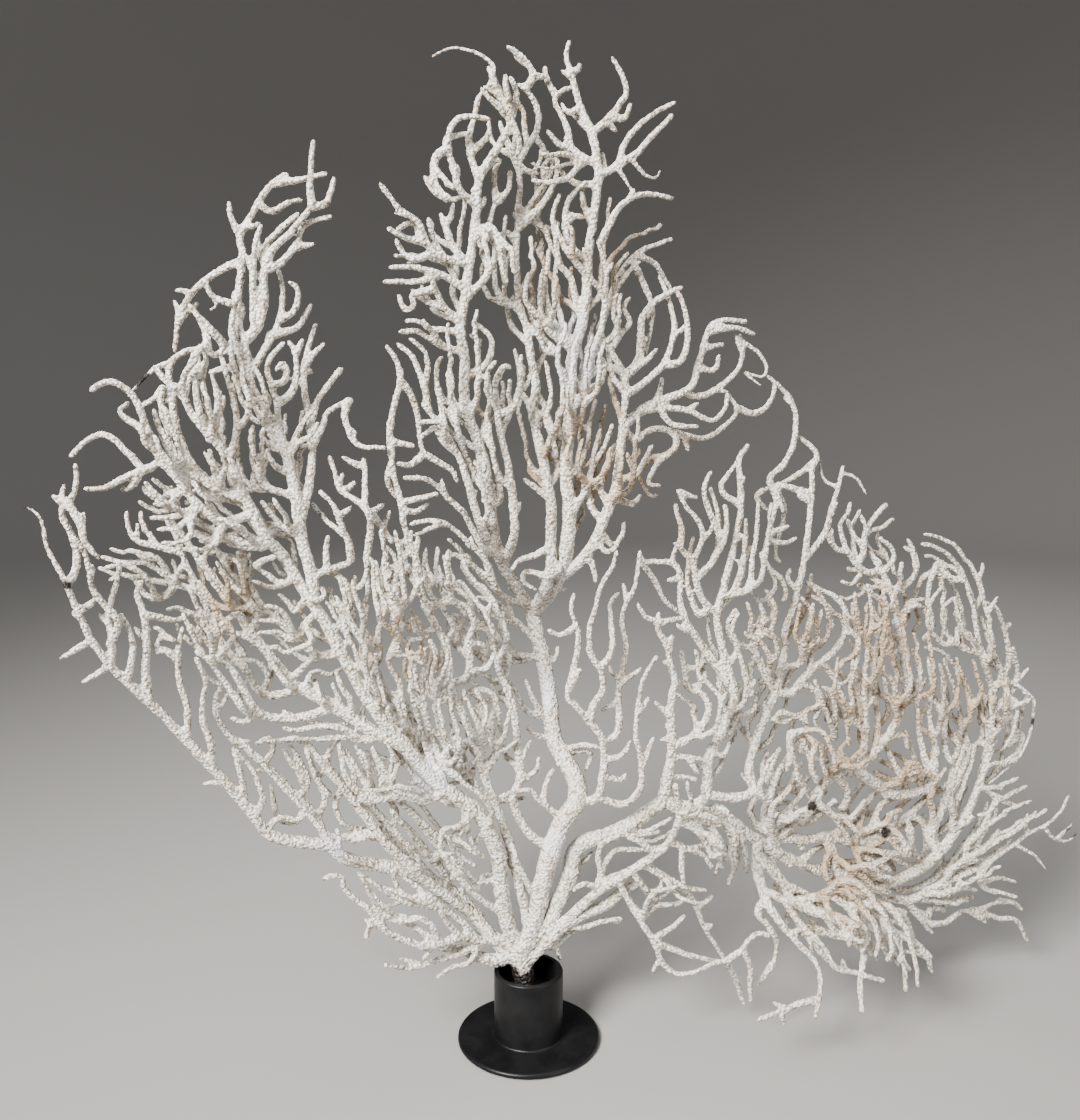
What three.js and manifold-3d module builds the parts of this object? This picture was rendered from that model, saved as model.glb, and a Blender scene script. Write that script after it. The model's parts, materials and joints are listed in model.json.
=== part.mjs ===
// A dried white sea fan standing in a small black flanged tube, in millimetres, +Z up.
// The origin is the centre of the foot's underside. The fan spreads along X and the viewer stands at -Y.
import * as THREE from 'three';
import { mergeVertices } from 'three/addons/utils/BufferGeometryUtils.js';
import Module from 'manifold-3d';

// The stand: one turned piece, a thin round foot with a straight tube that is open at the top.
const FOOT_RADIUS = 31;
const FOOT_THICKNESS = 2.4;
const TUBE_RADIUS = 15;
const TUBE_BORE_RADIUS = 12.8;
const TUBE_HEIGHT = 32;
const EDGE_ROUND = 0.8;
const FILLET = 1;
const PACKING_TOP = 21;
const STAND_SIDES = 28;
const STAND_COLOUR = 0x16151a;
const PACKING_COLOUR = 0x0d0c0c;
const FAN_COLOUR = 0xcfcac0;

// The fan's sheet: its right edge lies further from the viewer than its left edge.
const SHEET_SLANT = 44;
const SHEET_HALF_WIDTH_PX = 520;

// Strand thickness: radius at the root and at the tip.
const BRANCH_GIRTH = [2.8, 1.9];
const TWIG_GIRTH = [2.2, 1.6];
const THIN_GIRTH = [1.5, 0.9];
const LIMB_SIDES = 4;
const TWIG_SIDES = 3;

// Strands that cross keep this much air between them; pieces that meet at a fork keep the joint gap.
const CROSSING_AIR = 0.8;
const JOINT_GAP = 0.35;
const FREE_LENGTH = 12;
const FORK_LENGTH = 26;
const HOLDFAST_PX = [521, 944];
const HOLDFAST_REACH = 30;
const SPREAD_ROUNDS = 60;
const EASING = 0.12;
const HOMING = 0.03;
const TWIG_SWING = 0.05;
const STRAIGHT_ENOUGH = 1.5;

// The front view that the routes are drawn in: its size and centre in pixels, and where its eye stands.
const VIEW_CENTRE = [540, 560];
const VIEW_FOCAL = 1082;
const VIEW_PITCH = THREE.MathUtils.degToRad(8.4);
const VIEW_EYE = new THREE.Vector3(5, -440, 277);
const FOOT_CENTRE_PX = 529;
const PX_PER_MM = 2.45;

// Each limb is one piece. Its route and those of its twigs are points of the front view, root first.
// girth is the limb's radius at its root and tip, and lean is how far its tip stands behind the sheet.
// sideLean does the same for its side strands, which otherwise keep the lean of the place they grow from.
const LIMBS = {
  stem: {
    girth: [5.2, 6.2], lean: 0,
    route: '529,1030 528,1005 525,980 521,958 521,944',
  },
  centre_limb: {
    from: 'stem', girth: [5.6, 4.4], lean: -4,
    route:
      '523,950 533,925 540,895 546,870 553,845 563,821 577,800 574,776 562,755 553,735 550,702 ' +
      '545,668 538,636 533,612',
    branches: [
      '553,848 534,838 520,820 513,797 520,778 518,750 515,722 511,697 500,672 493,645 ' +
        '487,622 478,605 463,592 452,575 444,556',
      '577,806 597,797 603,775 604,755 602,738 590,722 576,706 567,696 573,682 580,670',
    ],
    twigs: [
      '602,742 616,735 619,715 618,695 622,672 626,648 622,622 626,604 634,588 638,568 ' +
        '640,552',
      '596,720 593,706 602,690 601,672 592,655 589,632 596,605 603,582 613,566 617,552',
      '566,693 572,672 578,648 577,628 571,610 574,594',
      '604,805 622,804 636,795 642,778 640,756 636,735 638,705 644,678 657,657',
    ],
  },
  mast_left_limb: {
    from: 'centre_limb', girth: [3.7, 2.4], lean: -9,
    route:
      '533,612 517,588 504,566 496,545 491,515 488,485 480,447 470,420 464,392 465,360 461,326 ' +
      '466,290 470,262 473,238 477,208 479,182 487,164 500,143 512,124',
    branches: [
      '497,552 484,534 475,508 468,483 460,460 450,440 440,424 430,412 423,404',
      '504,562 514,535 513,500 508,465 501,435 497,405 496,380 504,366',
    ],
    twigs: [
      '528,606 510,600 496,588 490,568 480,553 466,540 452,528 440,521 425,521 411,524',
      '500,560 484,548 473,530 463,512 450,500 438,487 425,479 405,478',
      '466,300 480,285 492,268 496,248 489,232 492,212 498,200',
      '463,263 442,258 427,243 420,225 412,217 400,210 390,197 380,184',
      '478,180 471,158 469,138 474,119 478,100 487,90',
      '473,205 460,190 454,170 448,148 450,130 459,118 475,117 489,119',
    ],
    thin: [
      '501,90 494,70 485,57 470,50 450,48 432,57',
    ],
  },
  mast_middle_limb: {
    from: 'centre_limb', girth: [3.4, 1.9], lean: 10,
    route:
      '541,605 549,580 551,545 551,505 545,470 538,440 533,412 536,388 531,358 527,330 520,305 ' +
      '517,275 516,245 518,215 520,185 517,162',
    twigs: [
      '548,488 558,468 552,440 546,418 550,400',
    ],
  },
  mast_limb: {
    from: 'centre_limb', girth: [4, 2.3], lean: 2,
    route:
      '536,610 556,583 567,545 569,505 566,470 569,430 571,395 572,360 581,328 586,295 588,262 ' +
      '591,235 596,200 598,170 595,146 591,131',
    twigs: [
      '569,520 580,500 590,478 594,452 600,430',
      '571,410 582,395 590,372 594,350 603,322 606,292 605,266 599,244',
      '583,318 575,296 571,278 560,264 556,240 553,214 560,195',
      '588,262 574,250 566,231 566,210 573,194 586,182',
      '591,131 581,108 575,88 570,70 566,54 570,41',
      '592,133 605,122 614,112 622,100 627,92 622,75 613,58',
      '588,166 573,150 568,131 560,112 555,101 562,91 576,87',
      '603,176 617,166 622,150 630,135 645,120 660,110 675,102',
      '600,240 609,226 618,209 635,197 652,194 672,199',
    ],
  },
  mast_right_limb: {
    from: 'mast_limb', girth: [3.4, 2], lean: 16,
    route: '558,578 580,562 594,543 606,515 615,488 620,455 622,425 626,395 622,370 606,345 600,330',
    branches: [
      '622,378 637,364 641,340 643,315 655,302 669,293 681,287',
    ],
    twigs: [
      '603,522 592,508 588,490 593,466 604,446 612,425',
      '602,328 610,300 618,278 629,261 642,250 658,244 672,239',
      '632,260 643,283 652,305 650,330 645,355',
      '648,392 663,365 674,330 670,304 660,276',
    ],
  },
  right_arm_limb: {
    from: 'mast_right_limb', girth: [2.9, 1.8], lean: 12,
    route: '622,425 645,408 668,398 690,388 698,366 704,345 711,326 725,320 746,322',
    twigs: [
      '684,396 700,397 722,385 737,370 743,352 740,335',
      '640,410 665,408 690,412 712,420 725,408 728,393',
      '622,448 635,440 648,431 665,429 685,435 704,438 722,428 737,411 728,395',
    ],
  },
  left_limb: {
    from: 'stem', girth: [5, 3.5], lean: 2,
    route:
      '516,950 508,925 503,900 500,870 495,845 480,815 458,797 440,785 420,765 405,745 385,722 ' +
      '365,695 350,668 338,645 325,622 310,600 296,577 282,554',
    branches: [
      '341,652 318,655 300,641 283,624 265,610 252,590 243,570 238,552',
      '450,790 428,800 405,797 382,800 358,800',
    ],
    twigs: [
      '362,692 372,672 380,655 378,632 384,610 380,588 382,566',
      '345,660 358,668 362,645 352,622 346,600 340,580',
      '333,634 350,606 340,578 322,572 308,578',
      '395,735 405,722 402,700 398,680 388,660 396,640 400,620 404,600 406,590',
      '432,778 440,760 432,738 424,715 418,695 408,690',
      '448,790 440,765 448,745 440,722 436,700 432,680 436,655 430,640',
    ],
  },
  left_crest_limb: {
    from: 'left_limb', girth: [3.5, 2], lean: 14,
    route:
      '314,606 311,575 303,545 299,520 294,488 288,458 281,438 270,419 258,399 249,380 247,358 ' +
      '241,335 237,310 240,284 243,255 240,236 251,216 262,196 275,182 287,175',
    branches: [
      '301,524 309,485 312,450 311,425 318,400 328,386 341,369',
      '246,342 258,326 264,300 264,272 272,251 286,237 300,222 312,207',
    ],
    twigs: [
      '313,425 306,402 304,378 307,352 315,325',
      '282,440 277,408 269,376 269,360 283,343',
      '252,379 262,355 273,335 281,312 283,290 278,270',
      '256,330 253,300 253,270 255,245 261,226',
      '241,262 222,269 204,281 190,296 180,313 177,335 175,351',
      '293,497 276,491 261,482 253,462 252,442 253,426',
    ],
  },
  left_tuft_limb: {
    from: 'left_limb', girth: [3.3, 2], lean: -14,
    route: '284,557 266,538 252,512 242,492 233,470 221,448 206,432 193,415 184,397 184,378 192,364',
    branches: [
      '244,498 222,492 205,480 190,462 180,440 174,412 170,385 171,362 190,350 212,352',
      '250,515 226,522 205,512 188,492 172,472 158,455 148,432 140,408 132,395 119,385 ' +
        '106,382 92,390',
    ],
    twigs: [
      '233,462 237,425 233,400 227,376 220,352',
      '222,452 212,425 206,400 202,380 206,358 202,345',
      '184,442 168,425 160,402 164,386 154,398 140,406',
      '205,482 186,472 170,452 160,430 154,410',
      '176,478 160,462 146,470 130,455 115,440 101,435 86,441 71,456',
    ],
  },
  left_second_limb: {
    from: 'left_limb', girth: [3.7, 2], lean: 9,
    route:
      '407,748 380,735 352,718 328,703 308,692 290,680 276,662 262,645 248,628 235,608 222,590 ' +
      '208,572 195,553 183,536 170,520',
    branches: [
      '320,698 298,690 278,695 260,692 250,676 238,660 224,645 213,625 206,605 198,587 ' +
        '188,568 182,552',
      '335,708 318,713 295,718 270,718 255,708 244,690 234,674 222,658 206,641 190,626 ' +
        '184,614',
    ],
    twigs: [
      '200,590 178,584 160,571 145,563 122,562 102,557',
      '250,632 258,612 248,600 234,582 226,566 215,548 200,540',
      '225,594 238,580 243,562 230,556 212,553 195,548 186,540',
    ],
  },
  lower_left_limb: {
    from: 'stem', girth: [4.8, 2], lean: -12,
    route:
      '510,953 490,935 474,915 460,898 440,886 418,875 395,868 368,864 345,858 328,846 305,843 ' +
      '285,840 268,833 253,814 238,796 222,778 205,760 188,742 170,722 150,703 130,685 110,665 ' +
      '95,645 82,622 73,600 67,584',
    branches: [
      '150,700 145,670 147,642 143,612 137,594 141,582',
    ],
    twigs: [
      '67,584 76,570 76,550 71,532 62,515 65,503 73,496 76,480 75,464',
      '113,664 112,640 108,617 112,598 118,578 120,563',
      '112,646 118,622 105,606 93,590 89,570 83,550 74,538',
      '190,738 188,710 180,684 178,656 182,628',
      '213,768 211,742 203,722 203,700 205,682 197,658',
    ],
    thin: [
      '67,584 60,570 50,553 45,540 42,523 34,511 23,507',
    ],
  },
  left_inner_limb: {
    from: 'lower_left_limb', girth: [3.3, 1.9], lean: 6,
    route: '440,886 420,866 401,843 383,820 363,800 345,783 328,766 314,752',
    branches: [
      '350,862 332,838 316,816 299,798 281,780 262,763 245,748 228,735 217,715 216,697 ' +
        '221,686 208,677',
      '470,905 448,880 430,858 412,834 392,812',
    ],
  },
  left_low_limb: {
    from: 'lower_left_limb', girth: [3.4, 1.8], lean: -16,
    route: '500,946 484,941 462,937 443,942 425,946 405,940 388,932 372,925 366,938',
    twigs: [
      '386,930 372,912 353,898 344,888 343,878 333,875 324,879',
      '487,944 462,953 438,960 412,968 385,965',
      '476,938 455,916 432,908 405,902 385,892 370,880 359,872',
      '440,940 432,926 418,918 400,922 384,914 374,900 366,886',
    ],
  },
  inner_left_limb: {
    from: 'centre_limb', girth: [3.2, 1.9], lean: 8,
    route:
      '531,930 524,905 518,880 512,852 502,822 492,798 483,772 476,745 467,722 456,702 450,680 ' +
      '448,655 440,632 428,612 421,590 418,565 410,545 404,522 400,500 395,480 391,455',
    branches: [
      '483,772 496,752 492,725 496,700 486,690 474,690 462,700',
    ],
    twigs: [
      '391,455 390,425 395,402 400,382 397,362 387,346',
      '410,548 402,560 396,580 398,600 392,620 396,640',
      '450,684 466,676 470,658 468,640 474,622 466,606 452,600 440,590 436,570 438,548',
    ],
  },
  right_limb: {
    from: 'stem', girth: [5.2, 4.2], lean: 0,
    route: '530,950 546,924 560,898 570,873 574,853 586,842 606,836 628,826 648,812 665,801',
  },
  right_under_limb: {
    from: 'right_limb', girth: [3.6, 2.2], lean: -30,
    route: '541,934 558,925 576,912 594,895 612,882 632,870 652,857 668,843 678,822 678,800 675,785',
    twigs: [
      '598,892 602,872 607,860 618,850 642,850 664,846',
      '618,880 626,896 636,914 648,932 657,948 664,965 678,974 696,971 714,963 726,961',
      '640,866 658,872 674,883 689,895 698,913 706,931 717,948 727,962',
    ],
  },
  right_rise_limb: {
    from: 'right_limb', girth: [3.6, 2], lean: -6,
    route: '662,803 668,776 672,749 671,721 672,696 675,679 669,656 672,637',
    branches: [
      '672,746 690,738 703,725 709,708 702,694 689,688 685,672 682,652',
    ],
  },
  right_mid_limb: {
    from: 'right_limb', girth: [3.4, 2], lean: 4,
    route:
      '665,801 686,806 704,799 708,778 709,757 719,738 728,715 734,695 728,668 721,642 717,615 ' +
      '723,590 730,562 737,532 741,505 740,480 739,460 748,446',
    branches: [
      '733,690 716,665 702,645 688,625 680,600 681,575 672,563 655,562 641,562',
    ],
    twigs: [
      '718,613 704,602 696,582 694,562 703,538 698,521 687,508 678,490',
      '699,577 713,561 718,542 719,520 714,500 711,488',
      '724,597 742,592 750,580 753,556 757,530 758,503',
    ],
  },
  right_core_limb: {
    from: 'right_mid_limb', girth: [3, 1.9], lean: 22,
    route:
      '706,793 724,797 743,796 754,790 749,772 753,750 760,730 768,710 776,692 780,670 785,648 ' +
      '786,628 794,607 799,585 805,555 809,525 812,495 812,470 818,458 811,446 800,437',
    branches: [
      '776,692 790,694 801,682 818,664 835,650 846,631 845,610 835,597 820,590 806,582',
      '776,692 764,672 756,652 741,645 728,634 729,621 736,610',
    ],
    twigs: [
      '808,560 824,535 831,510 838,489 843,467',
      '764,490 778,485 777,500 771,522 767,543 764,557 772,573 776,586 768,598 756,602',
      '760,492 770,479 784,463 793,445 796,421 792,401 780,387 768,376',
    ],
  },
  right_sweep_limb: {
    from: 'right_limb', girth: [4.2, 2.4], lean: 6,
    route: '665,801 690,811 712,816 732,823 752,838 772,850 798,862 822,873 848,880 872,888',
    branches: [
      '752,838 768,845 785,838 805,840 828,836 852,842 876,836 896,826 912,812 928,797 ' +
        '946,786 962,770',
      '826,838 834,858 838,874 850,886 866,900 886,908 905,912',
    ],
  },
  right_outer_limb: {
    from: 'right_sweep_limb', girth: [3.3, 1.9], lean: 16,
    route:
      '768,843 784,832 799,822 813,805 823,786 837,773 855,771 870,757 884,741 898,718 906,692 ' +
      '906,668 901,640 896,612 890,588 880,568 868,548 864,535 872,520 886,505',
    branches: [
      '858,772 876,784 896,795 916,793 934,783 926,762 920,735 917,705 919,675 912,650',
    ],
    twigs: [
      '882,570 866,572 855,562 845,545 840,525 847,514 850,503',
    ],
  },
  right_rim_limb: {
    from: 'right_sweep_limb', girth: [2.8, 1.7], lean: 4,
    route:
      '872,888 898,880 922,868 942,850 957,828 970,806 980,782 989,755 996,728 995,702 988,675 ' +
      '980,650 976,622 972,598 962,573 948,555 932,546 922,544',
    branches: [
      '940,852 930,835 940,812 948,795 960,775 968,750 964,728 972,706 966,684 956,668 ' +
        '942,652 925,648',
    ],
    twigs: [
      '998,690 1007,668 1008,648 1003,626 997,609 986,602',
      '966,580 950,578 938,562 930,582 928,602 933,625 922,640',
    ],
    thin: [
      '1015,680 1030,695 1034,712 1029,736 1020,756 1004,771 989,784',
    ],
  },
  right_tail_limb: {
    from: 'right_sweep_limb', girth: [2.4, 1.2], lean: -8,
    route:
      '872,888 890,898 912,900 932,888 962,875 988,862 1010,847 1028,834 1045,825 1060,812 ' +
      '1069,796',
    twigs: [
      '905,905 925,922 945,922 962,911 982,908 998,901',
    ],
  },
  right_low_limb: {
    from: 'right_sweep_limb', girth: [2.7, 1.5], lean: -50, sideLean: -42,
    route: '756,842 757,866 761,886 769,906 783,926 801,946 815,961 820,978 819,998 815,1019',
    branches: [
      '785,856 785,885 791,906 800,925 812,942 826,957 838,969 858,973 883,981',
      '788,895 808,910 828,915 846,926 858,940 864,955 860,980 862,1011',
    ],
    twigs: [
      '806,880 826,896 846,906 858,922 868,936 862,952',
      '872,888 880,906 890,926 900,946 904,966 906,990',
    ],
  },
};


const wasm = await Module();
wasm.setup();

const toSolid = (geometry) => {
  for (const name of Object.keys(geometry.attributes)) {
    if (name !== 'position') geometry.deleteAttribute(name);
  }
  const welded = mergeVertices(geometry, 1e-4);
  const vertProperties = new Float32Array(welded.getAttribute('position').array);
  const triVerts = new Uint32Array(welded.getIndex().array);
  return new wasm.Manifold(new wasm.Mesh({ numProp: 3, vertProperties, triVerts }));
};

const toGeometry = (solid) => {
  const mesh = solid.getMesh();
  const geometry = new THREE.BufferGeometry();
  geometry.setAttribute('position', new THREE.BufferAttribute(new Float32Array(mesh.vertProperties), 3));
  geometry.setIndex(new THREE.BufferAttribute(new Uint32Array(mesh.triVerts), 1));
  const flat = geometry.toNonIndexed();
  flat.computeVertexNormals();
  return flat;
};

// A point of the front view, placed at a depth behind the foot's axis.
const fromView = (px, py, depth) => {
  const right = (px - VIEW_CENTRE[0]) / VIEW_FOCAL;
  const down = (py - VIEW_CENTRE[1]) / VIEW_FOCAL;
  const forward = Math.cos(VIEW_PITCH) - down * Math.sin(VIEW_PITCH);
  const fall = Math.sin(VIEW_PITCH) + down * Math.cos(VIEW_PITCH);
  const reach = (depth - VIEW_EYE.y) / forward;
  return new THREE.Vector3(VIEW_EYE.x + right * reach, depth, VIEW_EYE.z - fall * reach);
};

const sheetDepth = (px) => (SHEET_SLANT * (px - FOOT_CENTRE_PX)) / SHEET_HALF_WIDTH_PX;

const span = (a, b) => Math.hypot(a[0] - b[0], a[1] - b[1]);
const mix = (a, b, t) => a + (b - a) * t;

// The place on a strand's route that is nearest to a point of the front view.
const nearestOn = (strand, point) => {
  let best = { away: Infinity, index: 0, t: 0 };
  for (let i = 0; i + 1 < strand.route.length; i += 1) {
    const a = strand.route[i];
    const b = strand.route[i + 1];
    const length = span(a, b) ** 2;
    const dot = (point[0] - a[0]) * (b[0] - a[0]) + (point[1] - a[1]) * (b[1] - a[1]);
    const t = THREE.MathUtils.clamp(dot / length, 0, 1);
    const away = span(point, [mix(a[0], b[0], t), mix(a[1], b[1], t)]);
    if (away < best.away) best = { away, index: i, t };
  }
  return best;
};

const depthAt = (strand, index, t) => mix(strand.depth[index], strand.depth[index + 1], t);

// Drops the points of a route that lie nearly on the line between their neighbours.
const straighten = (route) => {
  if (route.length < 3) return route;
  const a = route[0];
  const b = route[route.length - 1];
  let worst = 0;
  let at = 0;
  for (let i = 1; i + 1 < route.length; i += 1) {
    const cross = (b[0] - a[0]) * (route[i][1] - a[1]) - (b[1] - a[1]) * (route[i][0] - a[0]);
    const away = Math.abs(cross) / Math.max(span(a, b), 1e-6);
    if (away > worst) {
      worst = away;
      at = i;
    }
  }
  if (worst < STRAIGHT_ENOUGH * PX_PER_MM) return [a, b];
  return [...straighten(route.slice(0, at + 1)), ...straighten(route.slice(at)).slice(1)];
};

// Every strand of the fan, parents before children. A child starts on its parent's centre line.
const strands = [];
const addStrand = (limb, text, girth, sides, parents, lean) => {
  const route = straighten(text.split(' ').map((pair) => pair.split(',').map(Number)));
  let parent = null;
  let place = null;
  for (const other of parents) {
    const near = nearestOn(other, route[0]);
    if (!place || near.away < place.away - 0.5) {
      place = near;
      parent = other;
    }
  }
  if (parent) {
    const a = parent.route[place.index];
    const b = parent.route[place.index + 1];
    route[0] = [mix(a[0], b[0], place.t), mix(a[1], b[1], place.t)];
  }
  const along = [0];
  for (let i = 1; i < route.length; i += 1) along.push(along[i - 1] + span(route[i], route[i - 1]));
  const whole = along[along.length - 1];
  const rootLean = parent ? depthAt(parent, place.index, place.t) - sheetDepth(route[0][0]) : 0;
  const tipLean = lean(rootLean, whole);
  const depth = route.map((p, i) => sheetDepth(p[0]) + mix(rootLean, tipLean, along[i] / whole));
  const radius = along.map((s) => mix(girth[0], girth[1], s / whole));
  const home = [...depth];
  const index = strands.length;
  const strand = { limb, route, along, depth, home, radius, sides, parent, place, index };
  strands.push(strand);
  return strand;
};

for (const [limb, plan] of Object.entries(LIMBS)) {
  const trunk = strands.filter((strand) => strand.limb === plan.from).slice(0, 1);
  const own = [addStrand(limb, plan.route, plan.girth, LIMB_SIDES, trunk, () => plan.lean)];
  // Side strands swing a little to the back and the front in turn.
  const swing = (root, whole) => (plan.sideLean ?? root) + TWIG_SWING * whole * (own.length % 2 ? 1 : -1);
  const grow = (texts, girth) => {
    for (const text of texts ?? []) own.push(addStrand(limb, text, girth, TWIG_SIDES, own, swing));
  };
  grow(plan.branches, BRANCH_GIRTH);
  grow(plan.twigs, TWIG_GIRTH);
  grow(plan.thin, THIN_GIRTH);
}

// The nearest points of two straight pieces of route, as parameters along each.
const nearestPair = (a, b, c, d) => {
  const one = { route: [a, b] };
  const two = { route: [c, d] };
  const turn = (b[0] - a[0]) * (d[1] - c[1]) - (b[1] - a[1]) * (d[0] - c[0]);
  const s = ((c[0] - a[0]) * (d[1] - c[1]) - (c[1] - a[1]) * (d[0] - c[0])) / turn;
  const t = ((c[0] - a[0]) * (b[1] - a[1]) - (c[1] - a[1]) * (b[0] - a[0])) / turn;
  if (turn && s >= 0 && s <= 1 && t >= 0 && t <= 1) return { away: 0, s, t };
  const ends = [
    { ...nearestOn(two, a), s: 0 },
    { ...nearestOn(two, b), s: 1 },
    ...[c, d].map((point, end) => {
      const near = nearestOn(one, point);
      return { away: near.away, s: near.t, t: end };
    }),
  ];
  return ends.reduce((best, next) => (next.away < best.away ? next : best));
};

// Where two strands cross in the front view, and how far apart in depth they have to be there.
const crossings = [];
for (const one of strands) {
  for (const two of strands.slice(one.index + 1)) {
    for (let i = 0; i + 1 < one.route.length; i += 1) {
      for (let j = 0; j + 1 < two.route.length; j += 1) {
        const near = nearestPair(one.route[i], one.route[i + 1], two.route[j], two.route[j + 1]);
        const thickOne = mix(one.radius[i], one.radius[i + 1], near.s);
        const thickTwo = mix(two.radius[j], two.radius[j + 1], near.t);
        const air = thickOne + thickTwo + CROSSING_AIR;
        const away = near.away / PX_PER_MM;
        if (away >= air) continue;
        const alongOne = mix(one.along[i], one.along[i + 1], near.s) / PX_PER_MM;
        const alongTwo = mix(two.along[j], two.along[j + 1], near.t) / PX_PER_MM;
        const kin = two.parent === one && alongTwo < FREE_LENGTH + one.radius[i];
        const twins = one.parent === two.parent && Math.max(alongOne, alongTwo) < FORK_LENGTH;
        const a = one.route[i];
        const b = one.route[i + 1];
        const where = [mix(a[0], b[0], near.s), mix(a[1], b[1], near.s)];
        const grown = span(where, HOLDFAST_PX) < HOLDFAST_REACH * PX_PER_MM;
        if (kin || twins || grown || (one.parent === two && alongOne < FREE_LENGTH)) continue;
        const need = Math.sqrt(air * air - away * away);
        crossings.push({ one, two, i, j, s: near.s, t: near.t, need });
      }
    }
  }
}

// Strands that cross are eased apart along the line of sight, so the front view stays as it is drawn.
for (let round = 0; round < SPREAD_ROUNDS; round += 1) {
  for (const { one, two, i, j, s, t, need } of crossings) {
    const ahead = depthAt(two, j, t) - depthAt(one, i, s);
    const short = need - Math.abs(ahead);
    if (short <= 0) continue;
    const push = (ahead < 0 ? -1 : 1) * short * 0.3;
    one.depth[i] -= push * (1 - s);
    one.depth[i + 1] -= push * s;
    two.depth[j] += push * (1 - t);
    two.depth[j + 1] += push * t;
  }
  for (const { depth, home, parent, place } of strands) {
    for (let k = 1; k + 1 < depth.length; k += 1) {
      depth[k] = mix(depth[k], (depth[k - 1] + depth[k + 1]) / 2, EASING);
    }
    depth.forEach((d, k) => {
      depth[k] = mix(d, home[k], HOMING);
    });
    if (parent) depth[0] = depthAt(parent, place.index, place.t);
  }
}

// A closed tapering tube through points: a cylinder whose rings are carried along the line.
const tube = (points, radius, sides) => {
  const rings = points.length;
  const geometry = new THREE.CylinderGeometry(1, 1, 1, sides, rings - 1);
  const swell = Math.sqrt((2 * Math.PI) / (sides * Math.sin((2 * Math.PI) / sides)));
  const frames = [];
  for (let i = 0; i < rings; i += 1) {
    const tangent = points[Math.min(i + 1, rings - 1)].clone().sub(points[Math.max(i - 1, 0)]).normalize();
    const before = i ? frames[i - 1].normal : new THREE.Vector3(0, 1, 0.2);
    const normal = before.clone().addScaledVector(tangent, -before.dot(tangent)).normalize();
    frames.push({ tangent, normal, side: normal.clone().cross(tangent) });
  }
  const position = geometry.getAttribute('position');
  for (let k = 0; k < position.count; k += 1) {
    const i = Math.round((position.getY(k) + 0.5) * (rings - 1));
    const reach = radius[i] * swell;
    const place = points[i].clone();
    place.addScaledVector(frames[i].normal, position.getX(k) * reach);
    place.addScaledVector(frames[i].side, position.getZ(k) * reach);
    position.setXYZ(k, place.x, place.y, place.z);
  }
  return toSolid(geometry);
};

const limbSolid = (limb, extra) => {
  let solid = null;
  for (const strand of strands) {
    if (strand.limb !== limb) continue;
    const points = strand.route.map((p, i) => fromView(p[0], p[1], strand.depth[i]));
    const piece = tube(points, strand.radius.map((r) => r + extra), strand.sides);
    solid = solid ? solid.add(piece) : piece;
  }
  return solid;
};

const lathe = (profile) => {
  const outline = profile.map((p) => new THREE.Vector2(...p));
  return toSolid(new THREE.LatheGeometry(outline, STAND_SIDES).rotateX(Math.PI / 2));
};

const part = new THREE.Group();
part.name = 'sea_fan_on_stand';

const addPiece = (name, solid, colour, roughness) => {
  const mesh = new THREE.Mesh(toGeometry(solid), new THREE.MeshStandardMaterial({ color: colour, roughness }));
  mesh.name = name;
  part.add(mesh);
};

// The stand's half outline, from the centre of its underside round the foot and tube to the tube's floor.
const standSolid = lathe([
  [0, 0],
  [FOOT_RADIUS - EDGE_ROUND, 0],
  [FOOT_RADIUS, EDGE_ROUND],
  [FOOT_RADIUS, FOOT_THICKNESS - EDGE_ROUND],
  [FOOT_RADIUS - EDGE_ROUND, FOOT_THICKNESS],
  [TUBE_RADIUS + FILLET, FOOT_THICKNESS],
  [TUBE_RADIUS, FOOT_THICKNESS + FILLET],
  [TUBE_RADIUS, TUBE_HEIGHT - EDGE_ROUND],
  [TUBE_RADIUS - EDGE_ROUND, TUBE_HEIGHT],
  [TUBE_BORE_RADIUS + EDGE_ROUND / 2, TUBE_HEIGHT],
  [TUBE_BORE_RADIUS, TUBE_HEIGHT - EDGE_ROUND / 2],
  [TUBE_BORE_RADIUS, FOOT_THICKNESS],
  [0, FOOT_THICKNESS],
]);

// Black packing low in the tube holds the stem upright.
const packingFloor = FOOT_THICKNESS + JOINT_GAP;
const packingRadius = TUBE_BORE_RADIUS - JOINT_GAP;
const packing = lathe([
  [0, packingFloor],
  [packingRadius, packingFloor],
  [packingRadius, PACKING_TOP],
  [0, PACKING_TOP],
]);

addPiece('stand', standSolid, STAND_COLOUR, 0.55);
addPiece('packing', packing.subtract(limbSolid('stem', JOINT_GAP)), PACKING_COLOUR, 0.9);

// Each limb is cut back from the pieces before it, so that neighbours meet with a fine gap at a fork.
const cleared = [];
for (const limb of Object.keys(LIMBS)) {
  let solid = limbSolid(limb, 0);
  for (const other of cleared) {
    if (solid.intersect(other).isEmpty()) continue;
    solid = solid.subtract(other);
  }
  const bodies = solid.decompose().sort((a, b) => b.volume() - a.volume());
  addPiece(limb, bodies[0], FAN_COLOUR, 0.95);
  cleared.push(limbSolid(limb, JOINT_GAP));
}

export default part;
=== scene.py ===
"""A dried white sea fan standing in its black tube stand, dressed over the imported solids."""
import json
import math
import random

import bpy
import numpy as np
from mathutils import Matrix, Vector, kdtree

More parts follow.
